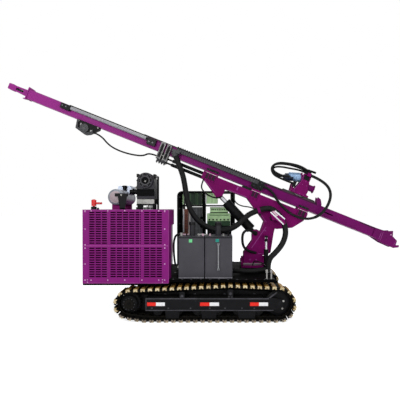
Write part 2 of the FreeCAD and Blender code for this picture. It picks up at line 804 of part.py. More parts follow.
engine_cover = keep(together("engine_cover", joined("engine_top", engine_head, engine_lid), *roof_boxes))
control_box = keep(block("control_box", (-290, engine_y, engine_low), "192", str(engine_deep - 165),
                         str(s.deck_top + s.control_high - engine_low)))
cooler = keep(block("cooler", (room_left + 8, engine_y, engine_low), "80", str(engine_deep - 5),
                    str(s.deck_top + s.cooler_high - engine_low)))

# Base, with the lugs that hold the roll pin
base_low = s.deck_top + s.pedestal_high
base_plate = block("base_plate", (s.base_rear, -s.base_wide / 2, base_low), "base_front - base_rear",
                   "base_wide", "base_thick")
lug_outline = loop([(-s.lug_wide / 2 - 50, base_low + s.base_thick / 2),
                    (s.lug_wide / 2 + 50, base_low + s.base_thick / 2),
                    (s.lug_wide / 2, s.roll_z + s.lug_wide / 2, 50),
                    (-s.lug_wide / 2, s.roll_z + s.lug_wide / 2, 50)])
lugs = [plate("base_lug_" + str(i), [lug_outline], "lug_thick", (x, 0, 0), "YZ_Plane")
        for i, x in enumerate((s.base_rear + s.lug_thick / 2, s.base_front - s.lug_thick / 2))]
roll_pin = bar("roll_pin", (s.base_rear - 8, 0, s.roll_z), ALONG_X, "base_front - base_rear + 16",
               "roll_pin_radius")
base_foot = keep(joined("base_foot", base_plate, roll_pin, *lugs))
ear_gap = 20
side_pin_radius = 12
ears = [block("side_ear_" + str(i), (x, s.side_y - 34, s.deck_top), "12", "68", "side_low_z - deck_top + 26")
        for i, x in enumerate((s.side_x - ear_gap - 12, s.side_x + ear_gap))]
side_pin = bar("side_pin", (s.side_x - ear_gap - 16, s.side_y, s.side_low_z), ALONG_X, "72",
               str(side_pin_radius))
side_ear = keep(joined("side_ear", side_pin, *ears))

# Column, a pair of plates on a hub that rolls sideways on the pin
hub_gap = 4
hub_rear = s.base_rear + s.lug_thick + hub_gap
hub_front = s.base_front - s.lug_thick - hub_gap
hub_top = s.roll_z + 95
column_y = s.column_inside - 18 + s.column_thick / 2
horn = [(s.lift_low_x - 44, s.lift_low_z + 48, 24), (s.lift_low_x + 44, s.lift_low_z + 48, 20)]
boss = s.tilt_boss_radius
column_outline = [
    (hub_rear, s.roll_z - 20), (hub_front, s.roll_z - 20), (hub_front, hub_top - 20),
    (s.base_front + 90, hub_top + 20, 20), (s.tilt_x + 22, s.lift_low_z, 60),
    (s.tilt_x + boss, s.tilt_z - 30, 40), (s.tilt_x + boss, s.tilt_z + boss, boss - 4),
    (s.tilt_x - boss, s.tilt_z + boss, boss - 4), (s.lift_low_x + 82, s.lift_low_z + 20, 12)]
column_outline += horn[::-1] + [(s.lift_low_x - 44, s.lift_low_z - 110, 40), (hub_rear, hub_top + 20, 20)]
column_sides = [plate("column_side_" + str(i), [loop(column_outline)], "column_thick",
                      (0, side * column_y, 0))
                for i, side in enumerate((-1, 1))]
hub_half = column_y + s.column_thick / 2
hub = block("column_hub", (hub_rear, -hub_half, s.roll_z - 40), str(hub_front - hub_rear), str(2 * hub_half),
            str(hub_top - s.roll_z + 40))
hub_bore = bar("column_bore", (hub_rear - 5, 0, s.roll_z), ALONG_X, str(hub_front - hub_rear + 10),
               "roll_pin_radius + 0.3")
web = block("column_web", (s.base_front + 20, -hub_half + 4, hub_top + 10), "30", str(2 * hub_half - 8),
            str(s.tilt_z - hub_top - 150))
tilt_pin = bar("tilt_pin", (s.tilt_x, -s.carrier_inside - s.carrier_plate - 6, s.tilt_z), ALONG_Y,
               "2 * (carrier_inside + carrier_plate + 6)", "tilt_pin_radius")
lift_pin = bar("lift_pin", (s.lift_low_x, -hub_half - 6, s.lift_low_z), ALONG_Y, str(2 * hub_half + 12),
               "lift_pin_radius")
collar_in = s.lift_eye_wide / 2 + 1
collars = [bar("lift_collar_" + str(i), (s.lift_low_x, y, s.lift_low_z), ALONG_Y, str(column_y - collar_in),
               "36")
           for i, y in enumerate((-column_y, collar_in))]
fork_ears = [block("side_fork_" + str(i), (x, s.side_y - 24, s.side_top_z - 34), "12",
                   str(24 - s.side_y - column_y), "62")
             for i, x in enumerate((s.side_x - ear_gap - 12, s.side_x + ear_gap))]
top_pin = bar("side_top_pin", (s.side_x - ear_gap - 16, s.side_y, s.side_top_z), ALONG_X, "72",
              str(side_pin_radius))
column = keep(joined("column", less("column_bored", joined("column_body", hub, web, *column_sides), hub_bore),
                     tilt_pin, lift_pin, top_pin, *collars, *fork_ears))

# Side cylinder that rolls the column
side_long = s.side_top_z - s.side_low_z
eye_wide = 2 * ear_gap - 1


def eye(radius, bore, wide, axis):
    """A round eye about the origin, on an axis."""
    side = Vector(axis) * (-wide / 2)
    return Part.makeCylinder(radius, wide, side, axis).cut(Part.makeCylinder(bore, wide, side, axis))


side_gland = side_long - 172
swing_play = 1.2
side_start = 40
side_barrel_shape = Part.makeCylinder(s.side_barrel_radius, side_gland - side_start, Vector(0, 0, side_start))
side_barrel_shape = side_barrel_shape.fuse(Part.makeCylinder(18, side_start - 8, Vector(0, 0, 10)))
side_barrel_shape = side_barrel_shape.cut(Part.makeCylinder(s.side_rod_radius + 0.3, side_gland,
                                                            Vector(0, 0, 60)))
side_eye = eye(24, side_pin_radius + 0.3, eye_wide, ALONG_X)
pin_hole = Part.makeCylinder(side_pin_radius + 0.3, eye_wide, Vector(-eye_wide / 2, 0, 0), ALONG_X)
side_barrel = keep(made("side_barrel", at(side_barrel_shape.fuse(side_eye).cut(pin_hole),
                                          s.side_x, s.side_y, s.side_low_z)))
side_rod_shape = Part.makeCylinder(s.side_rod_radius, side_long - 100, Vector(0, 0, 90))
side_rod_shape = side_rod_shape.fuse(at(side_eye.copy(), 0, 0, side_long))
rod_bore = Part.makeCylinder(side_pin_radius + swing_play, eye_wide, Vector(-eye_wide / 2, 0, side_long),
                             ALONG_X)
side_rod_shape = side_rod_shape.cut(rod_bore)
side_rod = keep(made("side_rod", at(side_rod_shape, s.side_x, s.side_y, s.side_low_z)))

# Tilt cylinder between the column and the carrier
lift_top = on_mast(s.lift_u, s.lift_v)
lift_low = Vector(s.lift_low_x, 0, s.lift_low_z)
lift_long = (lift_top - lift_low).Length
lift_angle = math.degrees(math.atan2(lift_top.x - lift_low.x, lift_top.z - lift_low.z))
lift_axes = Placement(shift + lift_low, Rotation(ALONG_Y, lift_angle))
lift_gland = lift_long - 150
lift_start = 78
lift_bore = Part.makeCylinder(s.lift_rod_radius + 0.3, lift_gland + 5, Vector(0, 0, 120))
lift_barrel_shape = Part.makeCylinder(s.lift_barrel_radius, lift_gland - lift_start, Vector(0, 0, lift_start))
lift_barrel_shape = lift_barrel_shape.fuse(Part.makeCylinder(s.lift_eye_wide / 2, 60, Vector(0, 0, 30)))
lift_eye = eye(s.lift_eye_radius, s.lift_pin_radius + 0.3, s.lift_eye_wide, ALONG_Y)
lift_hole = Part.makeCylinder(s.lift_pin_radius + 0.3, s.lift_eye_wide + 2,
                              Vector(0, -s.lift_eye_wide / 2 - 1, 0), ALONG_Y)
lift_barrel = keep(made("tilt_barrel", lift_barrel_shape.fuse(lift_eye).cut(lift_bore).cut(lift_hole)),
                   lift_axes)
lift_rod_shape = Part.makeCylinder(s.lift_rod_radius, lift_long - 160, Vector(0, 0, 130))
lift_rod_shape = lift_rod_shape.fuse(at(lift_eye.copy(), 0, 0, lift_long))
lift_rod = keep(made("tilt_rod", lift_rod_shape.cut(at(lift_hole.copy(), 0, 0, lift_long))), lift_axes)

# Carrier, the sloping frame that the mast slides in, with the clip that two hoses meet at
clip = Vector(768, -178, 1455)
clip_way = Vector(1, 0, 0.35).normalize()
clip_half = 20
carrier_y = s.carrier_inside + s.carrier_plate / 2
PADS = [(-1190, -990), (-450, -300), (300, 460)]
hook_top = s.mast_low + 42
pivot_reach = 96
carrier_outline = [(s.carrier_rear, s.carrier_edge), (s.carrier_rear, s.carrier_low + 30, 20),
                   (s.carrier_rear + 62, s.carrier_low), (s.lift_u - 30, s.lift_v - 48, 30),
                   (s.lift_u + 52, s.lift_v - 40, 30), (s.lift_u + 54, s.carrier_low),
                   (-462, s.carrier_low, 40),
                   (-289, 31, 60), (-60, -pivot_reach - 14, 60), (111, -134, 40), (331, -24, 60),
                   (446, 130, 60),
                   (s.carrier_front, s.carrier_low + 60), (s.carrier_front, s.carrier_edge)]
for start, end in PADS[::-1]:
    rise_from = min(end, s.carrier_front - 1)
    carrier_outline += [(rise_from, s.carrier_edge), (rise_from - 8, hook_top), (start + 8, hook_top),
                        (start, s.carrier_edge)]
pivot_hole = ring(0, 0, s.tilt_pin_radius + 0.3)
carrier_sides = [plate("carrier_side_" + str(i), [loop(carrier_outline), pivot_hole], "carrier_plate",
                       (0, side * carrier_y, 0)) for i, side in enumerate((-1, 1))]
wide_text = "2 * carrier_inside"
floor_plate = block("carrier_floor", (s.carrier_rear + 64, -s.carrier_inside, s.carrier_low), "680",
                    wide_text, "12")
front_tie = block("carrier_tie", (s.carrier_front - 40, -s.carrier_inside, s.carrier_low + 70), "16",
                  wide_text, "60")
rear_tie = block("carrier_rear_tie", (s.carrier_rear + 2, -s.carrier_inside, s.carrier_low + 36), "18",
                 wide_text,
                 str(s.carrier_top - s.carrier_low - 36))
barrel_stop = -620
mid_tie = block("carrier_mid_tie", (barrel_stop, -s.carrier_inside, s.carrier_low), "18", wide_text,
                str(s.slide_high_v + s.slide_barrel_radius - s.carrier_low))
pad_seats = []
hooks = []
for start, end in PADS:
    for side in (-1, 1):
        name = str(len(pad_seats))
        inner_y = side * 70 - 30
        pad_seats.append(block("pad_seat_" + name, (start, inner_y, s.carrier_top - 22), str(end - start),
                               "60", "22"))
        hook_y = s.carrier_inside if side > 0 else -s.carrier_inside
        hook_y = hook_y - 22 if side > 0 else hook_y
        hooks.append(block("hook_" + name, (start + 10, hook_y, s.mast_low + s.rail_thick + 0.6),
                           str(end - start - 20), "22", str(hook_top - s.mast_low - s.rail_thick - 0.6)))
slide_vs = (s.slide_low_v, s.slide_high_v)
tie_holes = [bar("tie_hole_" + str(i), (s.carrier_rear - 5, 0, v), ALONG_X, "60", "slide_barrel_radius + 0.3")
             for i, v in enumerate(slide_vs)]
clip_at = to_mast.multVec(clip)
clip_turned = to_mast.Rotation.multVec(clip_way)
clip_start = clip_at - clip_turned * clip_half
clip_disc = bar("clip_disc", clip_start, clip_turned, str(2 * clip_half), "50")
clip_arm = block("clip_arm", (clip_at.x - 10, clip.y, clip_at.z - 10), "20",
                 str(-clip.y - s.carrier_inside), "20")
carrier = keep(joined("carrier", less("carrier_rear_end", rear_tie, *tie_holes), floor_plate, front_tie,
                      mid_tie,
                      clip_disc, clip_arm,
                      *carrier_sides, *pad_seats, *hooks), mast_axes)
pads = []
for start, end in PADS:
    for side in (-1, 1):
        pads.append(block("pad_" + str(len(pads)), (start + 4, side * 68 - 26, s.carrier_top),
                          str(end - start - 8),
                          "52", "pad_thick + 0.6"))
slide_pads = keep(together("slide_pads", *pads), mast_axes)

# Slide cylinders, side by side under the mast
barrel_rear = -1720
clamp_u = -1876
clamp_half = 70
rod_start = clamp_u + clamp_half
barrels = []
rods = []
for i, v in enumerate(slide_vs):
    outside = bar("slide_tube_" + str(i), (barrel_rear, 0, v), ALONG_X, str(barrel_stop - barrel_rear),
                  "slide_barrel_radius")
    inside = bar("slide_hole_" + str(i), (barrel_rear - 5, 0, v), ALONG_X,
                 str(barrel_stop - barrel_rear - 30),
                 "slide_rod_radius + 0.3")
    barrels.append(less("slide_cylinder_" + str(i), outside, inside))
    rods.append(bar("slide_rod_" + str(i), (rod_start, 0, v), ALONG_X, "1080", "slide_rod_radius"))
slide_barrels = keep(together("slide_barrels", *barrels), mast_axes)
slide_rods = keep(together("slide_rods", *rods), mast_axes)

# Mast, a long box section with a guide rail along each lower edge
half_mast = s.mast_wide / 2
section = [loop([(-half_mast, s.mast_low), (half_mast, s.mast_low), (half_mast, mast_top),
                 (-half_mast, mast_top)]),
           loop([(-half_mast + s.mast_wall, s.mast_low + s.mast_wall),
                 (half_mast - s.mast_wall, s.mast_low + s.mast_wall),
                 (half_mast - s.mast_wall, mast_top - s.mast_wall),
                 (-half_mast + s.mast_wall, mast_top - s.mast_wall)])]
mast_tube = plate("mast_tube", section, "mast_front - mast_rear", ((s.mast_front + s.mast_rear) / 2, 0, 0),
                  "YZ_Plane")
edge_rails = [block("edge_rail_" + str(i), (s.rail_rear, y, s.mast_low), "rail_front - rail_rear", "rail_out",
                    "rail_thick") for i, y in enumerate((-half_mast - s.rail_out, half_mast))]
slot_rear, slot_front, slot_v, slot_round = 695, 841, s.mast_low + 75, 9
mast_slot = plate("mast_slot", [loop([
    (slot_rear, slot_v - slot_round - 1, slot_round), (slot_front, slot_v - slot_round - 1, slot_round),
    (slot_front, slot_v + slot_round + 1, slot_round), (slot_rear, slot_v + slot_round + 1, slot_round)])],
    "2 * mast_wall + 2", (0, -half_mast, 0))
mast_beam = keep(less("mast_beam", joined("mast_body", mast_tube, *edge_rails), mast_slot), mast_axes)
rail_foot = 8
rail_head = 10
top_section = loop([(-32, mast_top), (32, mast_top), (32, mast_top + rail_foot), (58, mast_top + rail_foot),
                    (58, mast_top + rail_foot + rail_head), (-58, mast_top + rail_foot + rail_head),
                    (-58, mast_top + rail_foot), (-32, mast_top + rail_foot)])
head_rail_rear = -2260
head_rail_front = 560
head_rail = keep(plate("head_rail", [top_section], str(head_rail_front - head_rail_rear),
                       ((head_rail_front + head_rail_rear) / 2, 0, 0), "YZ_Plane"), mast_axes)

# Nose of the mast, with its flange and slot, and the clamp foot
flange = block("nose_flange", (s.mast_rear - 14, -92, s.mast_low - 8), "14", "184", "182")
nose_slot_end = s.mast_rear - 89
nose_tip = plate("nose_tip", [
    loop(nose_tip_outline),
    loop([(s.nose_end + 120, s.mast_low + 66, 14), (nose_slot_end, s.mast_low + 62, 14),
          (nose_slot_end, s.mast_low + 100, 14), (s.nose_end + 120, s.mast_low + 100, 14)])], "96")
mast_nose = keep(joined("mast_nose", flange, nose_tip), mast_axes)
foot_sides = [plate("foot_side_" + str(i), [loop(foot_outline)], "18", (0, side * (half_mast + 9), 0))
              for i, side in enumerate((-1, 1))]
foot_plate = block("foot_plate", (s.mast_front, -half_mast, s.mast_low - 20), "16", "mast_wide",
                   "mast_deep + 20")
jaw = plate("foot_jaw", [loop([(1730, s.mast_low + 10, 10), (s.foot_end - 40, s.mast_low + 10, 20),
                               (1860, mast_top - 70, 20), (1730, mast_top - 60, 10)])], "mast_wide")
mast_foot = keep(joined("mast_foot", foot_plate, jaw, *foot_sides), mast_axes)

# Fittings along the near side of the mast
entry = on_mast(-1684, 318, -144)
entry_way = Vector(0.36, -0.04, -0.93).normalize()
entry_long = 72
near_face = -half_mast
feed_mounts = [block("feed_mount_rear", (-3570, near_face - 60, s.feed_v - 50), "150", "60", "80"),
               block("feed_mount_front", (-2170, near_face - 60, s.feed_v - 70), "130", "60", "100")]
feed_tube = bar("feed_tube", (-3500, s.feed_y, s.feed_v), ALONG_X, "1350", "feed_radius")
feed_cylinder = keep(joined("feed_cylinder", feed_tube, *feed_mounts), mast_axes)
chain_body = block("chain_body", (-1712, near_face - s.chain_out, s.chain_low_v), "1330", "chain_out",
                   "chain_top_v - chain_low_v")
chain_entry = block("chain_entry", (-1764, near_face - 112, s.chain_low_v - 20), "120", "112", "40")
entry_start = to_mast.multVec(entry) - to_mast.Rotation.multVec(entry_way) * entry_long
entry_stub = bar("entry_stub", entry_start, to_mast.Rotation.multVec(entry_way), str(entry_long), "46")
chain_end = block("chain_end", (-390, near_face - s.chain_out - 6, s.chain_low_v - 40), "92",
                  "chain_out + 6", "98")
drag_chain = keep(joined("drag_chain", chain_body, chain_entry, entry_stub, chain_end), mast_axes)
clamp_straps = [block("clamp_strap_" + str(i), (u, near_face - 46, 186), "68", "46", "258")
                for i, u in enumerate((clamp_u - 84, clamp_u + 16))]
clamp_under = block("clamp_under", (clamp_u - clamp_half, -half_mast - 2, 160), str(2 * clamp_half),
                    str(2 * half_mast + 4), str(s.mast_low - 160))
mast_clamp = keep(joined("mast_clamp", clamp_under, *clamp_straps), mast_axes)
reel_edge = near_face - 40
reel_deep = 64
reel_frame = plate("reel_frame", [
    loop([(-3262, s.mast_low), (-3240, s.mast_low - 137, 30), (-3070, s.mast_low - 184, 40),
          (-3008, s.mast_low - 152, 20), (-2968, s.mast_low - 112, 20), (-2897, s.mast_low - 40, 16),
          (-2905, s.mast_low)]),
    loop([(-3222, s.mast_low - 34, 8), (-3212, s.mast_low - 96, 8), (-3188, s.mast_low - 78, 8),
          (-3186, s.mast_low - 34, 8)]),
    loop([(-3048, s.mast_low - 118, 8), (-3012, s.mast_low - 116, 8), (-2976, s.mast_low - 82, 8),
          (-3040, s.mast_low - 84, 8)])], str(reel_deep), (0, reel_edge + reel_deep / 2, 0))
reel_drum = bar("reel_drum", (-3118, reel_edge - 12, s.mast_low - 96), ALONG_Y, str(reel_deep + 24), "60")
reel_guide = block("reel_guide", (-3009, near_face - 39, s.mast_low - 120), "60", "28", "30")
hose_reel = keep(joined("hose_reel", reel_frame, reel_drum, reel_guide), mast_axes)
fork_outline = loop([(550, mast_top), (624, mast_top), (617, mast_top + 28, 6), (580, mast_top + 88, 8),
                     (522, mast_top + 109, 8), (540, mast_top + 40, 12)])
fork_plates = [plate("fork_plate_" + str(i), [fork_outline], "14", (0, y, 0)) for i,
               y in enumerate((-66, 66))]
mast_fork = keep(together("mast_fork", *fork_plates), mast_axes)

# Power head on its sledge
rail_top = mast_top + rail_foot + rail_head
shoe_gap = 0.6
lip_in = 58 + shoe_gap
lip_low = mast_top + 1
shoe_top = rail_top + 16
shoe_out = 73
shoe_section = loop([(-shoe_out, lip_low), (-lip_in, lip_low), (-lip_in, rail_top + shoe_gap),
                     (lip_in, rail_top + shoe_gap), (lip_in, lip_low), (shoe_out, lip_low),
                     (shoe_out, shoe_top),
                     (-shoe_out, shoe_top)])
shoe_long = 190
sledge = [plate("sledge_" + str(i), [shoe_section], str(shoe_long), (u, 0, 0), "YZ_Plane") for i,
          u in enumerate((87, 409))]
head_shoes = keep(together("head_shoes", *sledge), mast_axes)
head_outline = loop([
    (101, shoe_top), (386, shoe_top), (386, shoe_top + 27, 6), (346, shoe_top + 31, 14),
    (354, shoe_top + 90, 20),
    (333, shoe_top + 142, 30), (322, shoe_top + 202, 30), (323, shoe_top + 337, 6), (194, shoe_top + 320, 6),
    (205, shoe_top + 228, 30), (182, shoe_top + 146, 30), (136, shoe_top + 28, 8), (124, shoe_top + 77, 8),
    (142, shoe_top + 152, 6), (114, shoe_top + 161, 10), (87, shoe_top + 119, 20)])
head_y = s.head_inside + s.head_plate / 2
head_sides = [plate("head_side_" + str(i), [head_outline], "head_plate", (0, side * head_y, 0))
              for i, side in enumerate((-1, 1))]
head_deep = "2 * head_inside"
head_floor = block("head_floor", (101, -s.head_inside, shoe_top), "285", head_deep, "16")
gear_rear = s.gear_front - s.gear_long
gear_case = bar("gear_case", (gear_rear, 0, s.spindle_v), ALONG_X, "gear_long", "gear_radius")
gear_end = block("gear_end", (s.gear_front - 36, -s.head_inside, shoe_top), "18", head_deep,
                 str(s.spindle_v + 78 - shoe_top))
port_u, port_v = 250, 780
head_port = block("head_port", (port_u, -s.head_inside - s.head_plate - 47, port_v), "50", "47", "50")

# The motor stands on a plate of its own behind the gears, level with the ground
motor_turn = Rotation(ALONG_Y, -s.motor_slope)
motor_way = motor_turn.multVec(ALONG_X)
motor_rear = Vector(-44, 0, 660)
seat_half = 74
motor_seat = block("motor_seat", (0, -s.head_inside, 0), "16", head_deep, str(2 * seat_half))
seat_corner = motor_rear + motor_way * s.motor_long + motor_turn.multVec(Vector(0, 0, -seat_half))
motor_seat.Placement = Placement(Vector(seat_corner.x, -s.head_inside, seat_corner.z), motor_turn)
head_carriage = keep(joined("head_carriage", head_floor, gear_case, gear_end, motor_seat, head_port,
                            *head_sides),
                     mast_axes)
flange_long = 70
head_motor = keep(joined(
    "head_motor", bar("motor_body", motor_rear, motor_way, "motor_long - 10", "motor_radius"),
    bar("motor_end", motor_rear - motor_way * 24, motor_way, "30", "36"),
    bar("motor_flange", motor_rear + motor_way * (s.motor_long - flange_long), motor_way, str(flange_long),
        "motor_flange")), mast_axes)
spindle_start = s.gear_front + 1
spindle = keep(joined("spindle", bar("spindle_neck", (spindle_start, 0, s.spindle_v), ALONG_X,
                                     "spindle_reach + 5",
                                     "spindle_radius"),
                      bar("spindle_drive", (spindle_start + s.spindle_reach, 0, s.spindle_v), ALONG_X,
                          "drive_thick",
                          "drive_radius")), mast_axes)

# Hoses, each from one fitting to the next
ROUTES = {
    "carrier_hose": (42, [entry, entry + entry_way * 130, (-360, -166, 1982), (-328, -180, 1825),
                          (-304, -186, 1650),
                          (-258, -190, 1480), (-150, -190, 1310), (40, -190, 1180), (240, -188, 1146),
                          (420, -184, 1208), (549, -180, 1332), clip - clip_way * (clip_half + 110),
                          clip - clip_way * clip_half]),
    "column_hose": (42, [clip + clip_way * clip_half, clip + clip_way * (clip_half + 110), (1010, -206, 1450),
                         (1125, -238, 1300), (1160, -262, 1130), (1110, -280, 975), (1010, -292, 850),
                         (port_x, port_y, 740), (port_x, port_y, s.deck_top + port_high)]),
    "head_hose": (21, [on_mast(-298, 392, -109), on_mast(-180, 392, -109), (1065, -170, 1556),
                       (1240, -196, 1392),
                       (1450, -206, 1318), (1632, -206, 1356), (1764, -200, 1478), (1840, -190, 1660),
                       (1808, -160, 1812), on_mast(420, 805, -113), on_mast(300, 805, -113)]),
    "reel_hose": (12, [on_mast(-2949, 195, -100), on_mast(-2849, 195, -100), (-1475, -110, 2430),
                       (-1320, -116, 2345), (-1140, -116, 2290), (-960, -108, 2268),
                       on_mast(-2080, 224, -100),
                       on_mast(-1960, 224, -100)]),
}
hoses = {}
for label, (radius, route) in ROUTES.items():
    hoses[label] = keep(made(label, hose_shape(route, radius)))

# Every state is checked before anything is written
doc.recompute()
bad = [o.Label for o in doc.Objects if "Invalid" in o.State or "Error" in o.State]
assert not bad, bad
facets = 0
for node in nodes:
    shape = node.Shape
    assert not shape.isNull() and shape.isValid() and shape.Solids, node.Label
    facets += len(shape.tessellate(1.0)[1])
    shape.exportStep(f"parts/{node.Label}.step")
print(len(nodes), "nodes", facets, "facets", "shift", shift)
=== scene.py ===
"""Looks of a crawler pile driver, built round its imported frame."""
import math
import bmesh
import bpy
from mathutils import Matrix, Vector


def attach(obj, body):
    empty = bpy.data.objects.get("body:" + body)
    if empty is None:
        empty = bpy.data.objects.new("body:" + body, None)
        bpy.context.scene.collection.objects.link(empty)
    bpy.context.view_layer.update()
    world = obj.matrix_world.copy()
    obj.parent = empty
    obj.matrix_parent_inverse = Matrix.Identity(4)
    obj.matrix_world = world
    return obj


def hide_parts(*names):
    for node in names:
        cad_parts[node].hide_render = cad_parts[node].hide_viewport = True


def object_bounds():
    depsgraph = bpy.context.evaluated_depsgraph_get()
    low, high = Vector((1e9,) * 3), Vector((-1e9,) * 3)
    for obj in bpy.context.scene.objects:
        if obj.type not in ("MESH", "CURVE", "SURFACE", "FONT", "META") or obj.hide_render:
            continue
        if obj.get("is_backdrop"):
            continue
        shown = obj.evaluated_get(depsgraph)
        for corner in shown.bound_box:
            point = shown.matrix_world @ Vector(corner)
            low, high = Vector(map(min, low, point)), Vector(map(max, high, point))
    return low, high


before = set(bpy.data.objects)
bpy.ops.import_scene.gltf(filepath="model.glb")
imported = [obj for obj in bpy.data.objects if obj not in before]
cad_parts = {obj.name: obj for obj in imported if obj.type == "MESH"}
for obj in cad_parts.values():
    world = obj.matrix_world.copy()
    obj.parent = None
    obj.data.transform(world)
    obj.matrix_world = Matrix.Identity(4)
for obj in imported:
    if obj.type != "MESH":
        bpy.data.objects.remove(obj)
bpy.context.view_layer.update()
COLLECTION = bpy.context.scene.collection

# Axes of the machine and of the mast, both in millimetres, as in the part's source
SHIFT = 0.07084773
SLOPE = math.radians(21.8)
PIVOT = Vector((0.977 + SHIFT, 0, 1.338))
WORLD = Matrix.Translation((SHIFT, 0, 0)) @ Matrix.Scale(0.001, 4)
MAST = Matrix.Translation(PIVOT) @ Matrix.Rotation(SLOPE, 4, "Y") @ Matrix.Scale(0.001, 4)


def at(x, y, z):
    """A place in the machine's axes, given in millimetres."""
    return WORLD @ Vector((x, y, z))


def on_mast(u, v, y=0.0):
    """A place in the mast's axes, given in millimetres."""
    return MAST @ Vector((u, y, v))


# Camera, floor and lights
FLOOR = 60  # half the floor's width in metres
camera = bpy.data.objects.new("camera", bpy.data.cameras.new("camera"))
COLLECTION.objects.link(camera)
camera.location = (0.203 + SHIFT, -5.9, 1.489)
camera.rotation_euler = (math.radians(90), 0, 0)
camera.data.lens = 34.74
camera.data.sensor_width = 36
camera.data.shift_x = -0.0518
camera.data.shift_y = 0.02
bpy.context.scene.camera = camera
bpy.context.scene.view_settings.view_transform = "Standard"


def srgb(code):
    """A linear colour from a six-digit code."""
    out = []
    for i in (0, 2, 4):
        c = int(code[i:i + 2], 16) / 255
        out.append(c / 12.92 if c <= 0.04045 else ((c + 0.055) / 1.055) ** 2.4)
    return (*out, 1.0)


class Nodes:
    """A short way to build a node tree."""

    def __init__(self, tree):
        self.tree = tree
        tree.nodes.clear()

    def add(self, kind, **values):
        """A node, with its settings and its sockets' values or links. Socket i0 is the first."""
        node = self.tree.nodes.new(kind)
        for key, value in values.items():
            if hasattr(node, key):
                setattr(node, key, value)
                continue
            by_number = key[0] == "i" and key[1:].isdigit()
            socket = node.inputs[int(key[1:]) if by_number else key.replace("_", " ")]
            if isinstance(value, bpy.types.NodeSocket):
                self.tree.links.new(value, socket)
            else:
                socket.default_value = value
        return node

    def math(self, operation, a, b):
        """One step of arithmetic."""
        return self.add("ShaderNodeMath", operation=operation, i0=a, i1=b).outputs[0]


def seen_white(n):
    """One where the background is seen, straight or in a reflection."""
    path = n.add("ShaderNodeLightPath")
    seen = n.math("ADD", path.outputs["Is Camera Ray"], path.outputs["Is Glossy Ray"])
    seen = n.math("ADD", seen, path.outputs["Is Transmission Ray"])
    return n.math("MINIMUM", seen, 1.0)


world = bpy.data.worlds.new("world")
world.use_nodes = True
bpy.context.scene.world = world
n = Nodes(world.node_tree)
light = n.add("ShaderNodeBackground", Color=(0.92, 0.95, 1.0, 1), Strength=0.36)
white = n.add("ShaderNodeBackground", Color=(1, 1, 1, 1), Strength=1.0)
mix = n.add("ShaderNodeMixShader", Fac=seen_white(n), i1=light.outputs[0], i2=white.outputs[0])
n.add("ShaderNodeOutputWorld", Surface=mix.outputs[0])

floor_mat = bpy.data.materials.new("floor_white")
floor_mat.use_nodes = True
n = Nodes(floor_mat.node_tree)
plain = n.add("ShaderNodeBsdfDiffuse", Color=(0.8, 0.8, 0.8, 1))
glow = n.add("ShaderNodeEmission", Color=(1, 1, 1, 1), Strength=0.75)
both = n.add("ShaderNodeAddShader", i0=plain.outputs[0], i1=glow.outputs[0])
mix = n.add("ShaderNodeMixShader", Fac=seen_white(n), i1=plain.outputs[0], i2=both.outputs[0])
n.add("ShaderNodeOutputMaterial", Surface=mix.outputs[0])
mesh = bpy.data.meshes.new("floor")
mesh.from_pydata([(-FLOOR, -FLOOR, 0), (FLOOR, -FLOOR, 0), (FLOOR, FLOOR, 0), (-FLOOR, FLOOR, 0)], [],
                 [(0, 1, 2, 3)])
mesh.materials.append(floor_mat)
floor = bpy.data.objects.new("floor", mesh)
COLLECTION.objects.link(floor)
floor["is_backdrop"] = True


def lamp(name, place, aim, size, power):
    """A square soft light."""
    data = bpy.data.lights.new(name, "AREA")
    data.size, data.energy = size, power
    item = bpy.data.objects.new(name, data)
    item.location = place
    item.rotation_mode = "QUATERNION"
    item.rotation_quaternion = (Vector(aim) - Vector(place)).to_track_quat("-Z", "Y")
    COLLECTION.objects.link(item)


lamp("key", (-2.6, -6.6, 3.4), (0, 0, 1.2), 3.0, 245)
lamp("fill", (4.5, -5.5, 2.6), (0.3, 0, 1.1), 4.0, 115)
lamp("top", (0.5, 2.0, 6.5), (0, 0, 1.0), 5.0, 200)


# Materials
MATERIALS = {}
DUST = "8d8478"
TONES = (0.38, 0.62)  # where in the noise the second tone ends and the first begins
UNEVEN = (0.82, 1.18)  # how far the roughness varies, as shares of it
FLECKS = (0.62, 0.66, 0.2)  # where worn spots begin and are full, and how much their amount lowers both


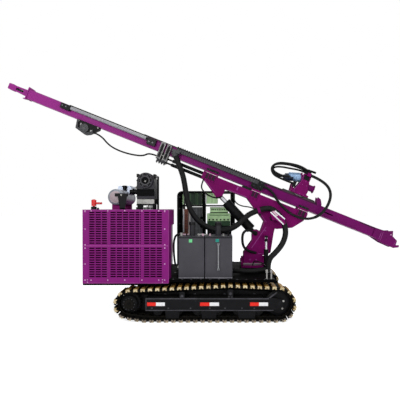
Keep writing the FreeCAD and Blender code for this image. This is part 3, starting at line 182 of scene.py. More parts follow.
def material(name, colour, other, rough=0.45, metal=0.0, grain=9.0, bump=0.03, fine=220.0, coat=0.0,
             along=None, wear=None, dust=0.0, gloss=0.3):
    """A surface of two mixed tones with uneven gloss and a fine bump.

    grain and fine are the scales of the tones and of the bump. along is a fade along X, a painted gradient of
    light: its two ends, and the colour at the first. wear is worn spots: their colour and amount. dust lies
    on what faces up.
    """
    m = bpy.data.materials.new(name)
    m.use_nodes = True
    n = Nodes(m.node_tree)
    where = n.add("ShaderNodeTexCoord").outputs["Object"]
    cloud = n.add("ShaderNodeTexNoise", Vector=where, Scale=grain, Detail=5.0, Roughness=0.6).outputs["Fac"]
    spots = n.add("ShaderNodeTexNoise", Vector=where, Scale=fine, Detail=3.0, Roughness=0.5).outputs["Fac"]
    ramp = n.add("ShaderNodeValToRGB", Fac=cloud)
    for stop, place, code in zip(ramp.color_ramp.elements, TONES, (other, colour)):
        stop.position = place
        stop.color = srgb(code)
    tone = ramp.outputs["Color"]
    if along:
        low, high, fade = along
        x = n.add("ShaderNodeSeparateXYZ", Vector=where).outputs["X"]
        step = n.add("ShaderNodeMapRange", Value=x, From_Min=low, From_Max=high).outputs["Result"]
        tone = n.add("ShaderNodeMixRGB", Fac=step, Color1=srgb(fade), Color2=tone).outputs["Color"]
    roughness = n.add("ShaderNodeMapRange", Value=cloud, From_Min=0.3, From_Max=0.7, To_Min=rough * UNEVEN[0],
                      To_Max=rough * UNEVEN[1]).outputs["Result"]
    if wear:
        code, amount = wear
        start, full, lower = FLECKS
        flecks = n.add("ShaderNodeTexNoise", Vector=where, Scale=grain * 3.1, Detail=8.0,
                       Roughness=0.75).outputs["Fac"]
        edge = n.add("ShaderNodeMapRange", Value=flecks, From_Min=start - amount * lower,
                     From_Max=full - amount * lower).outputs["Result"]
        tone = n.add("ShaderNodeMixRGB", Fac=edge, Color1=tone, Color2=srgb(code)).outputs["Color"]
    if dust:
        normal = n.add("ShaderNodeNewGeometry").outputs["Normal"]
        up = n.add("ShaderNodeSeparateXYZ", Vector=normal).outputs["Z"]
        lying = n.math("MULTIPLY", n.math("MAXIMUM", up, 0.0), n.math("MULTIPLY", cloud, dust))
        tone = n.add("ShaderNodeMixRGB", Fac=lying, Color1=tone, Color2=srgb(DUST)).outputs["Color"]
    raised = n.add("ShaderNodeBump", Strength=bump, Distance=0.002, Height=spots).outputs["Normal"]
    shader = n.add("ShaderNodeBsdfPrincipled", Base_Color=tone, Roughness=roughness, Metallic=metal,
                   Normal=raised)
    shader.inputs["Coat Weight"].default_value = coat
    shader.inputs["Specular IOR Level"].default_value = gloss
    n.add("ShaderNodeOutputMaterial", Surface=shader.outputs[0])
    MATERIALS[name] = m


material("purple_panel", "7f1c72", "771869", bump=0.02, grain=3.0, gloss=0.08)
# The mast's purple fades lighter towards its upper end: a painted gradient of light
material("purple_mast", "6d065d", "620553", bump=0.02, grain=4.0, along=(-2.9, 0.6, "9a3289"), gloss=0.08)
material("purple_deep", "78065c", "6a0551", bump=0.02, grain=4.0, gloss=0.06)
# A lighter purple for edges, seams, welds, ribs and bolts on the purple parts: a painted highlight
material("purple_highlight", "963d88", "8a327c", bump=0.02, gloss=0.15)
# A near-black purple under edges and between ribs: painted shade
material("painted_shade_purple", "2c0426", "22031d", rough=0.5, bump=0.02, gloss=0.15)
material("black_paint", "060607", "040405", rough=0.6, bump=0.02, grain=6.0, dust=0.01, gloss=0.01)
material("black_part", "101012", "0a0a0c", rough=0.5, bump=0.05, grain=25.0, wear=("242426", 0.05),
         gloss=0.08)
material("black_deep", "070708", "040405", rough=0.7, bump=0.05, grain=25.0, gloss=0.05)
material("black_ring", "312f34", "252328", grain=25.0, gloss=0.25)
material("tank_grey", "434247", "3d3c41", rough=0.5, grain=4.0, gloss=0.15)
material("tank_edge", "2b2a2e", "242327", rough=0.5, gloss=0.15)
# A light grey line along the tanks' lower edge: a painted highlight
material("tank_highlight", "8d8c92", "77767c")
material("frame_black", "121214", "0d0d0f", rough=0.5, bump=0.04, wear=("1f1e22", 0.1), dust=0.03, gloss=0.08)
# A lighter grey for edges, strips and bolts on black parts: a painted highlight
material("frame_highlight", "444348", "2f2e32", bump=0.05, grain=12.0, gloss=0.2)
material("gold_steel", "b98d42", "74551f", rough=0.5, metal=0.1, bump=0.15, grain=14.0, wear=("e2c888", 0.22))
# The shoes' pale end faces and tips: a painted highlight, with worn flecks
material("gold_highlight", "d6c59c", "98835a", rough=0.5, metal=0.05, bump=0.1, grain=20.0, wear=("f4ead0", 0.25))
material("link_black", "090909", "12100d", rough=0.6, bump=0.2, grain=30.0, wear=("2a231b", 0.12), gloss=0.06)
material("green_pale", "c4edb2", "accf9a", grain=6.0)
material("green_mid", "5f8a58", "4d7448", grain=6.0)
material("green_deep", "274a2c", "1e3c24", grain=6.0, gloss=0.2)
material("green_dark", "1d3322", "15281a", rough=0.4, grain=6.0, gloss=0.2)
material("box_grey", "66686a", "545658", rough=0.5, bump=0.04, grain=10.0, gloss=0.2)
material("copper_brown", "8a5344", "6b3c30", rough=0.5, metal=0.2, bump=0.08, grain=20.0)
material("copper_dark", "5a3228", "43241c", rough=0.5, metal=0.2, bump=0.08, grain=20.0)
material("silver", "8c9098", "777b83", rough=0.4, metal=0.4, bump=0.04, grain=12.0)
material("silver_rose", "96878b", "87787c", metal=0.1, bump=0.04, grain=12.0)
material("silver_blue", "b3bccb", "98a2b3", rough=0.4, metal=0.3, bump=0.04, grain=12.0)
material("chrome", "d6d7da", "c4c5c9", rough=0.22, metal=0.6, bump=0.01)
material("steel", "66676b", "505155", metal=0.4, grain=12.0)
material("rail_steel", "2f2b2c", "211e1f", metal=0.3, bump=0.05, grain=26.0, gloss=0.2)
material("pale_metal", "a9a8a4", "858380", rough=0.5, metal=0.1, bump=0.02)
material("pale_pink", "d9b9c6", "c09fae", bump=0.05, grain=22.0)
material("bolt_pale", "d8a6cf", "b98ab2", rough=0.4, bump=0.05, grain=30.0)
material("feed_grey", "939397", "84848a", metal=0.15, bump=0.01, grain=5.0)
material("red_gloss", "d0181a", "b51214", rough=0.3, grain=18.0, coat=0.2)
material("red_tape", "f23228", "e02a22", grain=60.0, gloss=0.15)
material("white_tape", "f2f2f3", "e4e4e6", grain=60.0)
material("rubber", "0c0c0e", "070708", rough=0.55, bump=0.1, grain=40.0, gloss=0.12)
material("sleeve", "0e0e10", "080809", rough=0.6, bump=0.2, grain=60.0, fine=500, gloss=0.15)
material("chain_grey", "454547", "38383b", rough=0.5, bump=0.05, grain=30.0, gloss=0.2)
material("chain_dark", "1d1d1f", "141416", rough=0.55, bump=0.05, grain=30.0, gloss=0.12)
material("plastic_black", "0d0d0f", "08080a", rough=0.42, grain=20.0, gloss=0.12)
material("reel_grey", "4a4a4d", "303033", bump=0.05, grain=40.0)
material("sticker_green", "6fd08c", "62c07e", rough=0.35, bump=0.02, grain=80.0)
material("sticker_teal", "178a7c", "127a6d", rough=0.35, bump=0.02, grain=80.0)
# Darker end faces of the shoes on the ground: painted shade, with worn flecks
material("gold_shaded", "92877a", "5d5348", rough=0.55, metal=0.05, bump=0.1, grain=20.0,
         wear=("c9bca4", 0.12), gloss=0.15)
# Silver-blue for the top and end of the navy motor: a painted highlight
material("motor_highlight", "8ba6c6", "6c88a8", rough=0.35, metal=0.4, bump=0.04, grain=24.0)
material("navy", "16233a", "0f1929", rough=0.4, metal=0.1, bump=0.04, grain=24.0)
material("cleaner_grey", "302e33", "27262a", rough=0.5, bump=0.04, grain=12.0, gloss=0.12)
# Dark brown for the head's shoes, also painted shade on the track's shoes on the ground
material("shoe_brown", "3d3938", "2a2726", rough=0.55, bump=0.08, grain=22.0, gloss=0.15)
# A dark lining behind slots: painted shade
material("painted_shade_inside", "120410", "0a0209", rough=0.8, bump=0.05, grain=7.0, gloss=0.03)
material("strap_dark", "39383c", "232226", rough=0.5, bump=0.04, grain=16.0, gloss=0.2)
material("tube_clear", "8b8c8e", "747578", rough=0.2, bump=0.02, grain=50.0, coat=0.3)

DRESS = {
    "purple_panel": ["hood", "grille_right", "grille_left"],
    "purple_mast": ["spindle", "mast_beam", "mast_nose", "mast_foot", "mast_fork"],
    "purple_deep": ["canister_stand", "base_foot", "column", "carrier", "head_carriage"],
    "black_paint": ["chassis_frame", "deck", "rear_frame", "engine_canopy", "side_ear", "cleaner_stand"],
    "black_part": ["engine_block", "power_pack", "hose_reel", "slide_barrels", "tilt_barrel", "side_barrel",
                   "rollers_right", "rollers_left"],
    "frame_black": ["track_beam_right", "track_beam_left", "sprocket_right", "sprocket_left", "idler_right",
                    "idler_left"],
    "gold_steel": ["track_right", "track_left"],
    "tank_grey": ["hydraulic_tank", "fuel_tank"],
    "tank_edge": ["filler_necks"],
    "green_pale": ["engine_cover"],
    "box_grey": ["control_box"],
    "copper_brown": ["cooler"],
    "silver": ["canister"],
    "cleaner_grey": ["air_cleaner"],
    "shoe_brown": ["head_shoes"],
    "chrome": ["side_rod", "tilt_rod"],
    "rail_steel": ["head_rail", "slide_rods"],
    "navy": ["head_motor"],
    "strap_dark": ["mast_clamp"],
    "red_gloss": ["red_valve"],
    "rubber": ["carrier_hose", "column_hose", "head_hose", "reel_hose"],
    "plastic_black": ["slide_pads", "feed_cylinder"],
    "chain_grey": ["drag_chain"],
    "tube_clear": ["sight_gauge"],
}
for finish, names in DRESS.items():
    for name in names:
        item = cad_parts[name]
        item.data.materials.clear()
        item.data.materials.append(MATERIALS[finish])


NEAR, UP, DOWN, AHEAD, BACK = (0, -1, 0), (0, 0, 1), (0, 0, -1), (1, 0, 0), (-1, 0, 0)
ROUNDED = math.radians(40)  # edges sharper than this are rounded
SHARP = math.radians(35)  # and those sharper than this are shaded as edges


def around(count, offset=0.0):
    """Even angles round a circle, the first one a share of a step on."""
    return [math.tau * (k + offset) / count for k in range(count)]


class Build:
    """Collects shapes in millimetres in one set of axes, and makes one piece of them."""

    def __init__(self, axes=WORLD):
        self.axes = axes
        self.bm = bmesh.new()
        self.names = []

    def mark(self, faces, finish):
        """Give faces a finish by its name."""
        if finish not in self.names:
            self.names.append(finish)
        for face in faces:
            face.material_index = self.names.index(finish)
        return faces

    def slab(self, outline, low, high, finish):
        """A flat piece from an outline in X and Z, from low to high along Y."""
        rings = [[self.bm.verts.new(self.axes @ Vector((x, y, z))) for x, z in outline] for y in (low, high)]
        count = len(outline)
        faces = [self.bm.faces.new(rings[0]), self.bm.faces.new(rings[1][::-1])]
        for i in range(count):
            j = (i + 1) % count
            faces.append(self.bm.faces.new((rings[0][i], rings[1][i], rings[1][j], rings[0][j])))
        return self.mark(faces, finish)

    def box(self, low, high, finish):
        """A box between two corners."""
        (x0, y0, z0), (x1, y1, z1) = low, high
        self.slab([(x0, z0), (x1, z0), (x1, z1), (x0, z1)], y0, y1, finish)

    def panel(self, outline, side, near, far, finish):
        """A flat piece on one side of the middle, with its depths counted outwards."""
        low, high = sorted((side * near, side * far))
        self.slab(outline, low, high, finish)

    def plate(self, low, high, side, near, far, finish):
        """A box on one side of the middle, between corners in X and Z and depths counted outwards."""
        (x0, z0), (x1, z1) = low, high
        self.panel([(x0, z0), (x1, z0), (x1, z1), (x0, z1)], side, near, far, finish)

    def lathe(self, start, way, steps, finish, sides=20):
        """A round piece about a line, from (distance along, radius) steps."""
        start, way = Vector(start), Vector(way).normalized()
        side = way.orthogonal().normalized()
        up = way.cross(side)
        rings = []
        for along, radius in steps:
            middle = start + way * along
            places = [middle + (side * math.cos(a) + up * math.sin(a)) * radius for a in around(sides)]
            rings.append([self.bm.verts.new(self.axes @ place) for place in places])
        faces = [self.bm.faces.new(rings[0][::-1]), self.bm.faces.new(rings[-1])]
        for one, two in zip(rings, rings[1:]):
            for k in range(sides):
                j = (k + 1) % sides
                faces.append(self.bm.faces.new((one[k], one[j], two[j], two[k])))
        self.mark(faces, finish)

    def rod(self, start, end, radius, finish, sides=14):
        """A round bar between two points."""
        start, end = Vector(start), Vector(end)
        edge = min(radius * 0.15, 3)
        long = (end - start).length
        steps = [(0, radius - edge), (edge, radius), (long - edge, radius), (long, radius - edge)]
        self.lathe(start, end - start, steps, finish, sides)

    def bolt(self, place, way, radius, finish, high=None):
        """A bolt's head on its washer."""
        high = high or radius * 0.7
        self.lathe(place, way, [(-1, radius * 1.5), (high * 0.3, radius * 1.5)], finish, 12)
        head = [(0, radius), (high * 0.8, radius), (high, radius * 0.8)]
        self.lathe(Vector(place) + Vector(way).normalized() * high * 0.3, way, head, finish, 6)

    def done(self, name, body, bevel, replaces=()):
        """The finished piece, with its edges rounded, riding on a body."""
        bmesh.ops.recalc_face_normals(self.bm, faces=self.bm.faces)
        mesh = bpy.data.meshes.new(name)
        self.bm.to_mesh(mesh)
        self.bm.free()
        for finish in self.names:
            mesh.materials.append(MATERIALS[finish])
        item = bpy.data.objects.new(name, mesh)
        COLLECTION.objects.link(item)
        rounding = item.modifiers.new("rounding", "BEVEL")
        rounding.width = bevel / 1000
        rounding.segments = 2
        rounding.limit_method = "ANGLE"
        rounding.angle_limit = ROUNDED
        mesh.shade_smooth()
        mesh.set_sharp_from_angle(angle=SHARP)
        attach(item, body)
        if replaces:
            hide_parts(*replaces)


# Hoses, each on its route from the part's source
def route_curve(name, points):
    """A smooth line through the route's points as control points."""
    data = bpy.data.curves.new(name, "CURVE")
    data.dimensions = "3D"
    data.resolution_u = 12
    spline = data.splines.new("NURBS")
    spline.points.add(len(points) - 1)
    for point, place in zip(spline.points, points):
        point.co = (*place, 1)
    spline.order_u = 3
    spline.use_endpoint_u = True
    item = bpy.data.objects.new(name, data)
    COLLECTION.objects.link(item)
    return item


def hose(name, body, points, radius, replaces=()):
    """A plain hose. Its radius is in millimetres, and its points in metres."""
    item = route_curve(name, points)
    item.data.bevel_depth = radius / 1000
    item.data.bevel_resolution = 5
    item.data.use_fill_caps = True
    item.data.materials.append(MATERIALS["rubber"])
    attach(item, body)
    if replaces:
        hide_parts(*replaces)


def line_of(name, points):
    """Points along a route's smooth line."""
    item = route_curve(name, points)
    item.data.resolution_u = 40
    dg = bpy.context.evaluated_depsgraph_get()
    mesh = bpy.data.meshes.new_from_object(item.evaluated_get(dg))
    places = [v.co.copy() for v in mesh.vertices]
    bpy.data.meshes.remove(mesh)
    bpy.data.objects.remove(item)
    return places


def even(places, step):
    """Points at even steps along a line."""
    out, left = [places[0]], step
    for a, b in zip(places, places[1:]):
        long = (b - a).length
        while long >= left:
            a = a + (b - a) * (left / long)
            long -= left
            left = step
            out.append(a)
        left -= long
    out.append(places[-1])
    return out


RIB = (0.0, 0.5, 1.0, 0.5)  # depth of the groove at each step of a rib
RIBBED_SIDES = 18


def ribbed(name, body, points, radius, pitch, depth, share=(0.0, 1.0), replaces=()):
    """A corrugated hose. Its ribs cover a share of its length and the rest is smooth."""
    places = even(line_of(name + "_line", points), pitch / len(RIB) / 1000)
    bm = bmesh.new()
    rings = []
    side = (places[1] - places[0]).orthogonal().normalized()
    count = len(places)
    for k, place in enumerate(places):
        way = (places[min(k + 1, count - 1)] - places[max(k - 1, 0)]).normalized()
        side = (side - way * side.dot(way)).normalized()
        up = way.cross(side)
        here = k / (count - 1)
        cut = depth * RIB[k % len(RIB)] if share[0] <= here <= share[1] else 0.0
        r = (radius - cut) / 1000
        rings.append([bm.verts.new(place + (side * math.cos(a) + up * math.sin(a)) * r)
                      for a in around(RIBBED_SIDES)])
    bm.faces.new(rings[0][::-1])
    bm.faces.new(rings[-1])
    for one, two in zip(rings, rings[1:]):
        for j in range(RIBBED_SIDES):
            i = (j + 1) % RIBBED_SIDES
            bm.faces.new((one[j], one[i], two[i], two[j]))
    bmesh.ops.recalc_face_normals(bm, faces=bm.faces)
    mesh = bpy.data.meshes.new(name)
    bm.to_mesh(mesh)
    bm.free()
    mesh.materials.append(MATERIALS["sleeve"])
    mesh.shade_smooth()
    item = bpy.data.objects.new(name, mesh)
    COLLECTION.objects.link(item)
    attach(item, body)
    if replaces:
        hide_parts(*replaces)


STRAIGHT = 0.13  # metres from a hose's end to its first bend
HALF_CLIP = 0.02  # half of the gap between two hoses' ends at the clip, in metres
entry = on_mast(-1684, 318, -144)
entry_way = Vector((0.36, -0.04, -0.93)).normalized()
clip = at(768, -178, 1455)
clip_way = Vector((1, 0, 0.35)).normalized()
ribbed("carrier_sleeve", "carrier", [
    entry, entry + entry_way * STRAIGHT, at(-360, -166, 1982), at(-328, -180, 1825), at(-304, -186, 1650),
    at(-258, -190, 1480), at(-150, -190, 1310), at(40, -190, 1180), at(240, -188, 1146), at(420, -184, 1208),
    at(549, -180, 1332), clip - clip_way * STRAIGHT, clip - clip_way * HALF_CLIP],
    42, 24, 2.5, replaces=["carrier_hose"])
ribbed("column_sleeve", "column", [
    clip + clip_way * HALF_CLIP, clip + clip_way * STRAIGHT, at(1010, -206, 1450), at(1125, -238, 1300),
    at(1160, -262, 1130), at(1110, -280, 975), at(1010, -292, 850), at(889, -300, 740), at(889, -300, 600)],
    42, 24, 2.5, replaces=["column_hose"])
ribbed("head_sleeve", "mast", [
    on_mast(-298, 392, -109), on_mast(-180, 392, -109), at(1065, -170, 1556), at(1240, -196, 1392),
    at(1450, -206, 1318), at(1632, -206, 1356), at(1764, -200, 1478), at(1840, -190, 1660),
    at(1808, -160, 1812), on_mast(420, 805, -113), on_mast(300, 805, -113)],
    21, 22, 4.5, share=(0.04, 0.52), replaces=["head_hose"])
hose("reel_line", "mast", [
    on_mast(-2949, 195, -100), on_mast(-2849, 195, -100), at(-1475, -110, 2430), at(-1320, -116, 2345),
    at(-1140, -116, 2290), at(-960, -108, 2268), on_mast(-2080, 224, -100), on_mast(-1960, 224, -100)],
    12, replaces=["reel_hose"])

# Tracks, each a chain of black links with hollow golden shoes on it
IDLER, IDLER_RADIUS = Vector((958, 0, 233)), 162
SPROCKET, SPROCKET_RADIUS = Vector((-994, 0, 233)), 129
WHEEL_STEPS = 24
SHOES = 52
HALF_PITCH = 50.8
TRACK = 750  # from the middle of the machine to the middle of a track
SEAT = 18  # from the track's inner face to the chain's middle


def touch(point, wheel, radius, side):
    """The point where a line from a point outside touches a wheel."""
    away = point - wheel
    angle = math.atan2(away.z, away.x) + side * math.acos(radius / away.length)
    return wheel + Vector((radius * math.cos(angle), 0, radius * math.sin(angle)))


def round_wheel(wheel, start, end):
    """Points clockwise round a wheel between two points on it."""
    a = math.atan2((start - wheel).z, (start - wheel).x)
    b = math.atan2((end - wheel).z, (end - wheel).x)
    turn = (a - b) % math.tau
    radius = (start - wheel).length
    angles = [a - turn * k / WHEEL_STEPS for k in range(WHEEL_STEPS + 1)]
    return [wheel + Vector((radius * math.cos(angle), 0, radius * math.sin(angle))) for angle in angles]


def chain_line():
    """The middle line of a track's chain, as a closed row of points."""
    front, rear = IDLER_RADIUS + SEAT, SPROCKET_RADIUS + SEAT
    crown = Vector((330, 0, 425 + SEAT))
    ground = Vector((-794, 0, 71 - SEAT))
    front_low = IDLER + Vector((0, 0, -front))
    points = [crown] + round_wheel(IDLER, touch(crown, IDLER, front, -1), front_low) + [ground]
    points += round_wheel(SPROCKET, touch(ground, SPROCKET, rear, -1),
                          touch(crown, SPROCKET, rear, 1)) + [crown]
    long = sum((b - a).length for a, b in zip(points, points[1:]))
    return even(points, long / SHOES * 0.99999)[:SHOES]  # a hair shorter, so that rounding loses no shoe


SHOE = [(-49, 14), (-47, 37), (47, 37), (49, 14)]
GROUSER = [(-29, 14), (-25, 51), (25, 51), (29, 14), (10, 14), (0, 30), (-10, 14)]
# A pale patch on a grounded shoe's tip: a painted highlight
LIT_TIP = [(-25, 36), (-24, 50), (0, 50), (0, 36)]
GUIDE = [(-30, 4), (-24, 12), (24, 12), (30, 4)]
LINK = [(-52, -8), (-44, -17), (-20, -17), (-10, -9), (10, -9), (20, -17), (44, -17), (52, -8), (52, 4),
        (42, 13), (-42, 13), (-52, 4)]


def track(name, middle, replaces):
    """One whole track. Its shoes on the ground are painted darker as shade, with painted highlights on their
    tips.
    """
    b = Build()
    places = chain_line()
    for k, place in enumerate(places):
        way = (places[(k + 1) % SHOES] - places[k - 1]).normalized()
        out = Vector((-way.z, 0, way.x))

        def turned(outline):
            return [((place + way * a + out * c).x, (place + way * a + out * c).z) for a, c in outline]

        b.slab(turned(SHOE), middle - 147.5, middle + 147.5, "link_black")
        ends = b.slab(turned(GROUSER), middle - 149.5, middle + 149.5, "gold_steel")
        # Shoes on the ground get painted shade on their grousers and ends and a painted highlight on their
        # tips; the others get a painted highlight on their end faces
        grounded = out.z < -0.5
        if grounded:
            b.mark(ends, "shoe_brown")
            for side in (-1, 1):
                low, high = sorted((middle + side * 146, middle + side * 149.9))
                b.slab(turned(LIT_TIP), low, high, "gold_highlight")
        b.mark(ends[:2], "gold_shaded" if grounded else "gold_highlight")
        for side in (-1, 1):
            low = middle + side * 56 - 8
            b.slab(turned(LINK), low, low + 16, "link_black")
            b.slab(turned(GUIDE), middle + side * 92 - 20, middle + side * 92 + 20, "link_black")
        pin = place + way * HALF_PITCH
        b.rod((pin.x, middle - 68, pin.z), (pin.x, middle + 68, pin.z), 12, "link_black", 8)
    b.done(name, "base", bevel=1.5, replaces=replaces)


track("shoes_right", -TRACK, ["track_right"])
track("shoes_left", TRACK, ["track_left"])

# Plates and tubes of the track frames inside the chains
b = Build()
for side in (-1, 1):
    b.panel([(-1140, 233), (-1110, 135), (-1040, 90), (-994, 80), (-794, 46), (958, 46), (1060, 68),
             (1120, 135), (1144, 233), (1110, 330), (1040, 394), (330, 446), (-994, 384), (-1100, 340)],
            side, 628, 635, "black_deep")
    b.panel([(-705, 324), (860, 324), (860, 366), (330, 392), (-705, 344)], side, 660, 700, "frame_black")
    for x in (-560, -160, 240, 640):
        b.plate((x, 326), (x + 30, 340), side, 657, 703, "frame_highlight")
b.done("frame_plates", "base", bevel=1.0)

# Trim of the track frames with painted highlights, hubs and tapes, the same on both sides
FRAME = 868  # from the middle of the machine to the outer face of a track frame
HUB = (-994, 232)
TEETH = 21
TOOTH = ((0.0, 122), (0.3, 122), (0.42, 146), (0.7, 146), (0.82, 122))  # share of a step, and radius
TAPES = ((-757, 116), (-67, 124), (584, 118))  # start, and length of each colour
for side, word in ((-1, "right"), (1, "left")):
    b = Build()
    out = (0, side, 0)
    # Strips along the frame's top and bottom edges in lighter grey: painted highlights
    b.plate((-777, 300), (830, 316), side, FRAME, FRAME + 12, "frame_highlight")
    b.plate((-777, 150), (890, 163), side, FRAME, FRAME + 12, "frame_highlight")
    b.plate((-777, 163), (-765, 300), side, FRAME, FRAME + 6, "frame_highlight")
    for start, half in TAPES:
        b.plate((start, 212), (start + half, 258), side, FRAME, FRAME + 2.5, "red_tape")
        b.plate((start + half, 212), (start + 2 * half, 258), side, FRAME, FRAME + 2.5, "white_tape")
    for x, z in ((1021, 276), (1006, 178)):
        b.bolt((x, side * FRAME, z), out, 9, "pale_metal")
    b.lathe((958, side * (FRAME - 2), 232), out, [(0, 52), (6, 52), (8, 40), (14, 36), (16, 12)],
            "frame_black", 28)
    b.panel([(825, 316), (930, 392), (942, 384), (852, 316)], side, 838, FRAME + 4, "frame_highlight")
    for x in (-694, -480, -190, 60, 260, 480, 640):
        b.bolt((x, side * FRAME, 182), out, 8, "frame_highlight")
    b.lathe((HUB[0], side * (FRAME - 4), HUB[1]), out,
            [(0, 82), (5, 80), (5, 66), (12, 62), (14, 30), (20, 26)], "link_black", 32)
    for a in around(12):
        b.bolt((HUB[0] + 73 * math.cos(a), side * FRAME, HUB[1] + 73 * math.sin(a)), out, 5, "frame_highlight")
    teeth = []
    for k in range(TEETH):
        for share, radius in TOOTH:
            a = math.tau * (k + share) / TEETH
            teeth.append((HUB[0] + radius * math.cos(a), HUB[1] + radius * math.sin(a)))
    b.panel(teeth, side, 735, 765, "link_black")
    for x, z in ((-301, 340), (330, 372)):
        b.bolt((x, side * FRAME, z), out, 13, "frame_highlight")
        for step in (-20, 20):
            b.bolt((x + step, side * FRAME, 328), out, 6, "frame_highlight")
    for start, long in ((-522, 190), (-52, 205), (428, 232)):
        b.plate((start + 26, 70), (start + long - 26, 138), side, FRAME, FRAME + 3, "black_part")
    b.done("frame_trim_" + word, "base", bevel=1.0)

# Hood panels: bolts, bars that divide the slots, a dark lining inside as painted shade, and seams and bent
# edges in a painted highlight colour
HOOD = 880  # from the middle of the machine to the outer face of a hood panel
REAR = -1594
BAR_STEP = 81.5
HOODS = (
    (-1, "right", -473, [-1561, -1483, -1266, -1046, -822, -603, -525], (3, 5, 3), (-1255, -834)),
    (1, "left", -640, [-1561, -1483, -1266, -1046, -822, -680], (3, 3, 3), (-1255,)))
for side, word, front, xs, columns, seams in HOODS:
    b = Build()
    bolts = [(x, z, 6) for x in xs for z in (551, 1452)]
    bolts += [(x, z, 6) for z in (1444, 1215, 1010, 968, 761) for x in (xs[0], xs[-1])]
    bolts += [(x, z, 5) for z in (524, 556) for x in (-1530, xs[-1] - 30)]
    for x, z, radius in bolts:
        b.bolt((x, side * HOOD, z), (0, side, 0), radius, "bolt_pale", 5)
    left = -1508
    for count in columns:
        for k in range(1, count):
            b.plate((left + BAR_STEP * k - 11.5, 586), (left + BAR_STEP * k, 1441), side, HOOD - 8,
                    HOOD + 0.8, "purple_panel")
        left += BAR_STEP * (count - 1) + 112
    # A dark lining and ribs behind the slots: painted shade
    b.plate((-1580, 516), (front - 12, 1458), side, 800, 806, "painted_shade_inside")
    for k in range(7):
        b.plate((-1480 + 130 * k, 540), (-1466 + 130 * k, 1440), side, 792, 814, "painted_shade_inside")
    # Seams and bent edges in lighter purple: painted highlights
    edges = [((REAR + 2, 990), (front - 2, 1003))]
    edges += [((REAR, low), (front, high)) for low, high in ((508, 517), (1461, 1468))]
    edges += [((x, 508), (x + 6, 1468)) for x in (REAR, front - 6)]
    edges += [((x - 20, 517), (x - 16, 1461)) for x in seams]
    for low, high in edges:
        b.plate(low, high, side, HOOD, HOOD + 4, "purple_highlight")
    b.done("hood_trim_" + word, "base", bevel=1.0)

# Things on the hood: bracket, canister's bands, air cleaner's face and pipe, and red valve
b = Build()
b.slab([(-1194, 1641), (-1194, 1683), (-1021, 1683), (-1021, 1641), (-1036, 1641), (-1066, 1468),
        (-1128, 1468), (-1153, 1641)], -812, -794, "black_part")
b.box((-1128, -812, 1468), (-1066, -780, 1486), "black_part")
b.bolt((-1110, -812, 1662), NEAR, 8, "pale_metal")
b.lathe((-1166, -400, 1738), UP, [(0, 26), (44, 26), (44, 34), (62, 34), (70, 28)], "plastic_black", 20)
b.slab([(-1268, 1700), (-1268, 1792), (-1250, 1806), (-1092, 1806), (-1062, 1740), (-1062, 1700)], -380, -80,
       "silver_blue")
for y in (-700, -130):
    b.lathe((-1192, y, 1636), (0, 1, 0), [(0, 107.5), (26, 107.5)], "steel", 36)
b.lathe((-1192, -790, 1636), NEAR, [(-2, 78), (1, 78), (3, 70)], "silver_rose", 40)
b.lathe((-923, -600, 1712), BACK,
        [(-6, 56), (16, 56), (22, 36), (60, 34), (62, 46), (78, 46), (82, 32), (120, 30)], "black_part", 22)
b.lathe((-962, -600, 1752), UP, [(0, 16), (24, 16), (30, 10)], "pale_metal", 12)
port = (-805, -754, 1856)  # the air cleaner's round face
b.lathe(port, NEAR, [(-2, 99), (4, 99), (7, 92), (3, 86)], "black_ring", 40)
b.lathe(port, NEAR, [(0, 84), (6, 84), (9, 78), (9, 70)], "black_part", 40)
b.lathe(port, NEAR, [(0, 66), (12, 66), (13, 56), (11, 50)], "black_ring", 40)
b.lathe(port, NEAR, [(0, 48), (13, 48), (14, 40)], "black_deep", 32)
b.lathe((-800, -754, 1846), NEAR, [(0, 12), (16, 12), (20, 6)], "pale_metal", 16)
for a in around(8, 0.5):
    b.bolt((-805 + 76 * math.cos(a), -763, 1856 + 76 * math.sin(a)), NEAR, 4, "steel", 4)
b.box((-925, -728, 1522), (-684, -700, 1543), "black_part")
for k in range(9):
    x = -925 + 27 * k
    b.box((x, -760 + 9 * (k % 3), 1468), (x + 15, -738 + 9 * (k % 3), 1500 + 11 * (k * 5 % 4)), "black_part")
b.rod((-925, -745, 1487), (-690, -745, 1487), 8, "black_part", 8)
b.box((-921, -733, 1650), (-689, -719, 1742), "black_deep")
for x in (-912, -872, -832, -792, -752, -712):
    b.box((x, -735.5, 1547), (x + 26, -728, 1601), "pale_metal")
b.box((-921, -732, 1543), (-689, -726, 1605), "pale_metal")
for x, y in ((-908, -760), (-884, -745), (-700, -745)):
    b.box((x, y, 1468), (x + 14, y + 16, 1545), "black_part")
for z in (1640, 1700, 1780, 1860):
    b.rod((-924, -722, z), (-924, -640, z), 7, "black_part", 8)
    b.bolt((-929, -600, z), BACK, 8, "pale_metal")
b.box((-931, -700, 1905), (-905, -560, 1950), "black_part")
b.box((-705, -700, 1900), (-679, -560, 1945), "black_part")
b.lathe((-1473, -800, 1584), UP, [(0, 33), (8, 33), (14, 26), (20, 12)], "red_gloss", 20)
b.rod((-1473, -800, 1551), (-1366, -800, 1551), 14, "red_gloss", 14)
b.lathe((-1473, -800, 1468), UP, [(0, 37), (34, 37), (40, 31)], "plastic_black", 24)
for x in (-1460, -1418):
    b.lathe((x, -800, 1468), UP, [(0, 15), (14, 15), (20, 9), (26, 9)], "black_part", 14)
b.done("hood_fittings", "base", bevel=1.2)

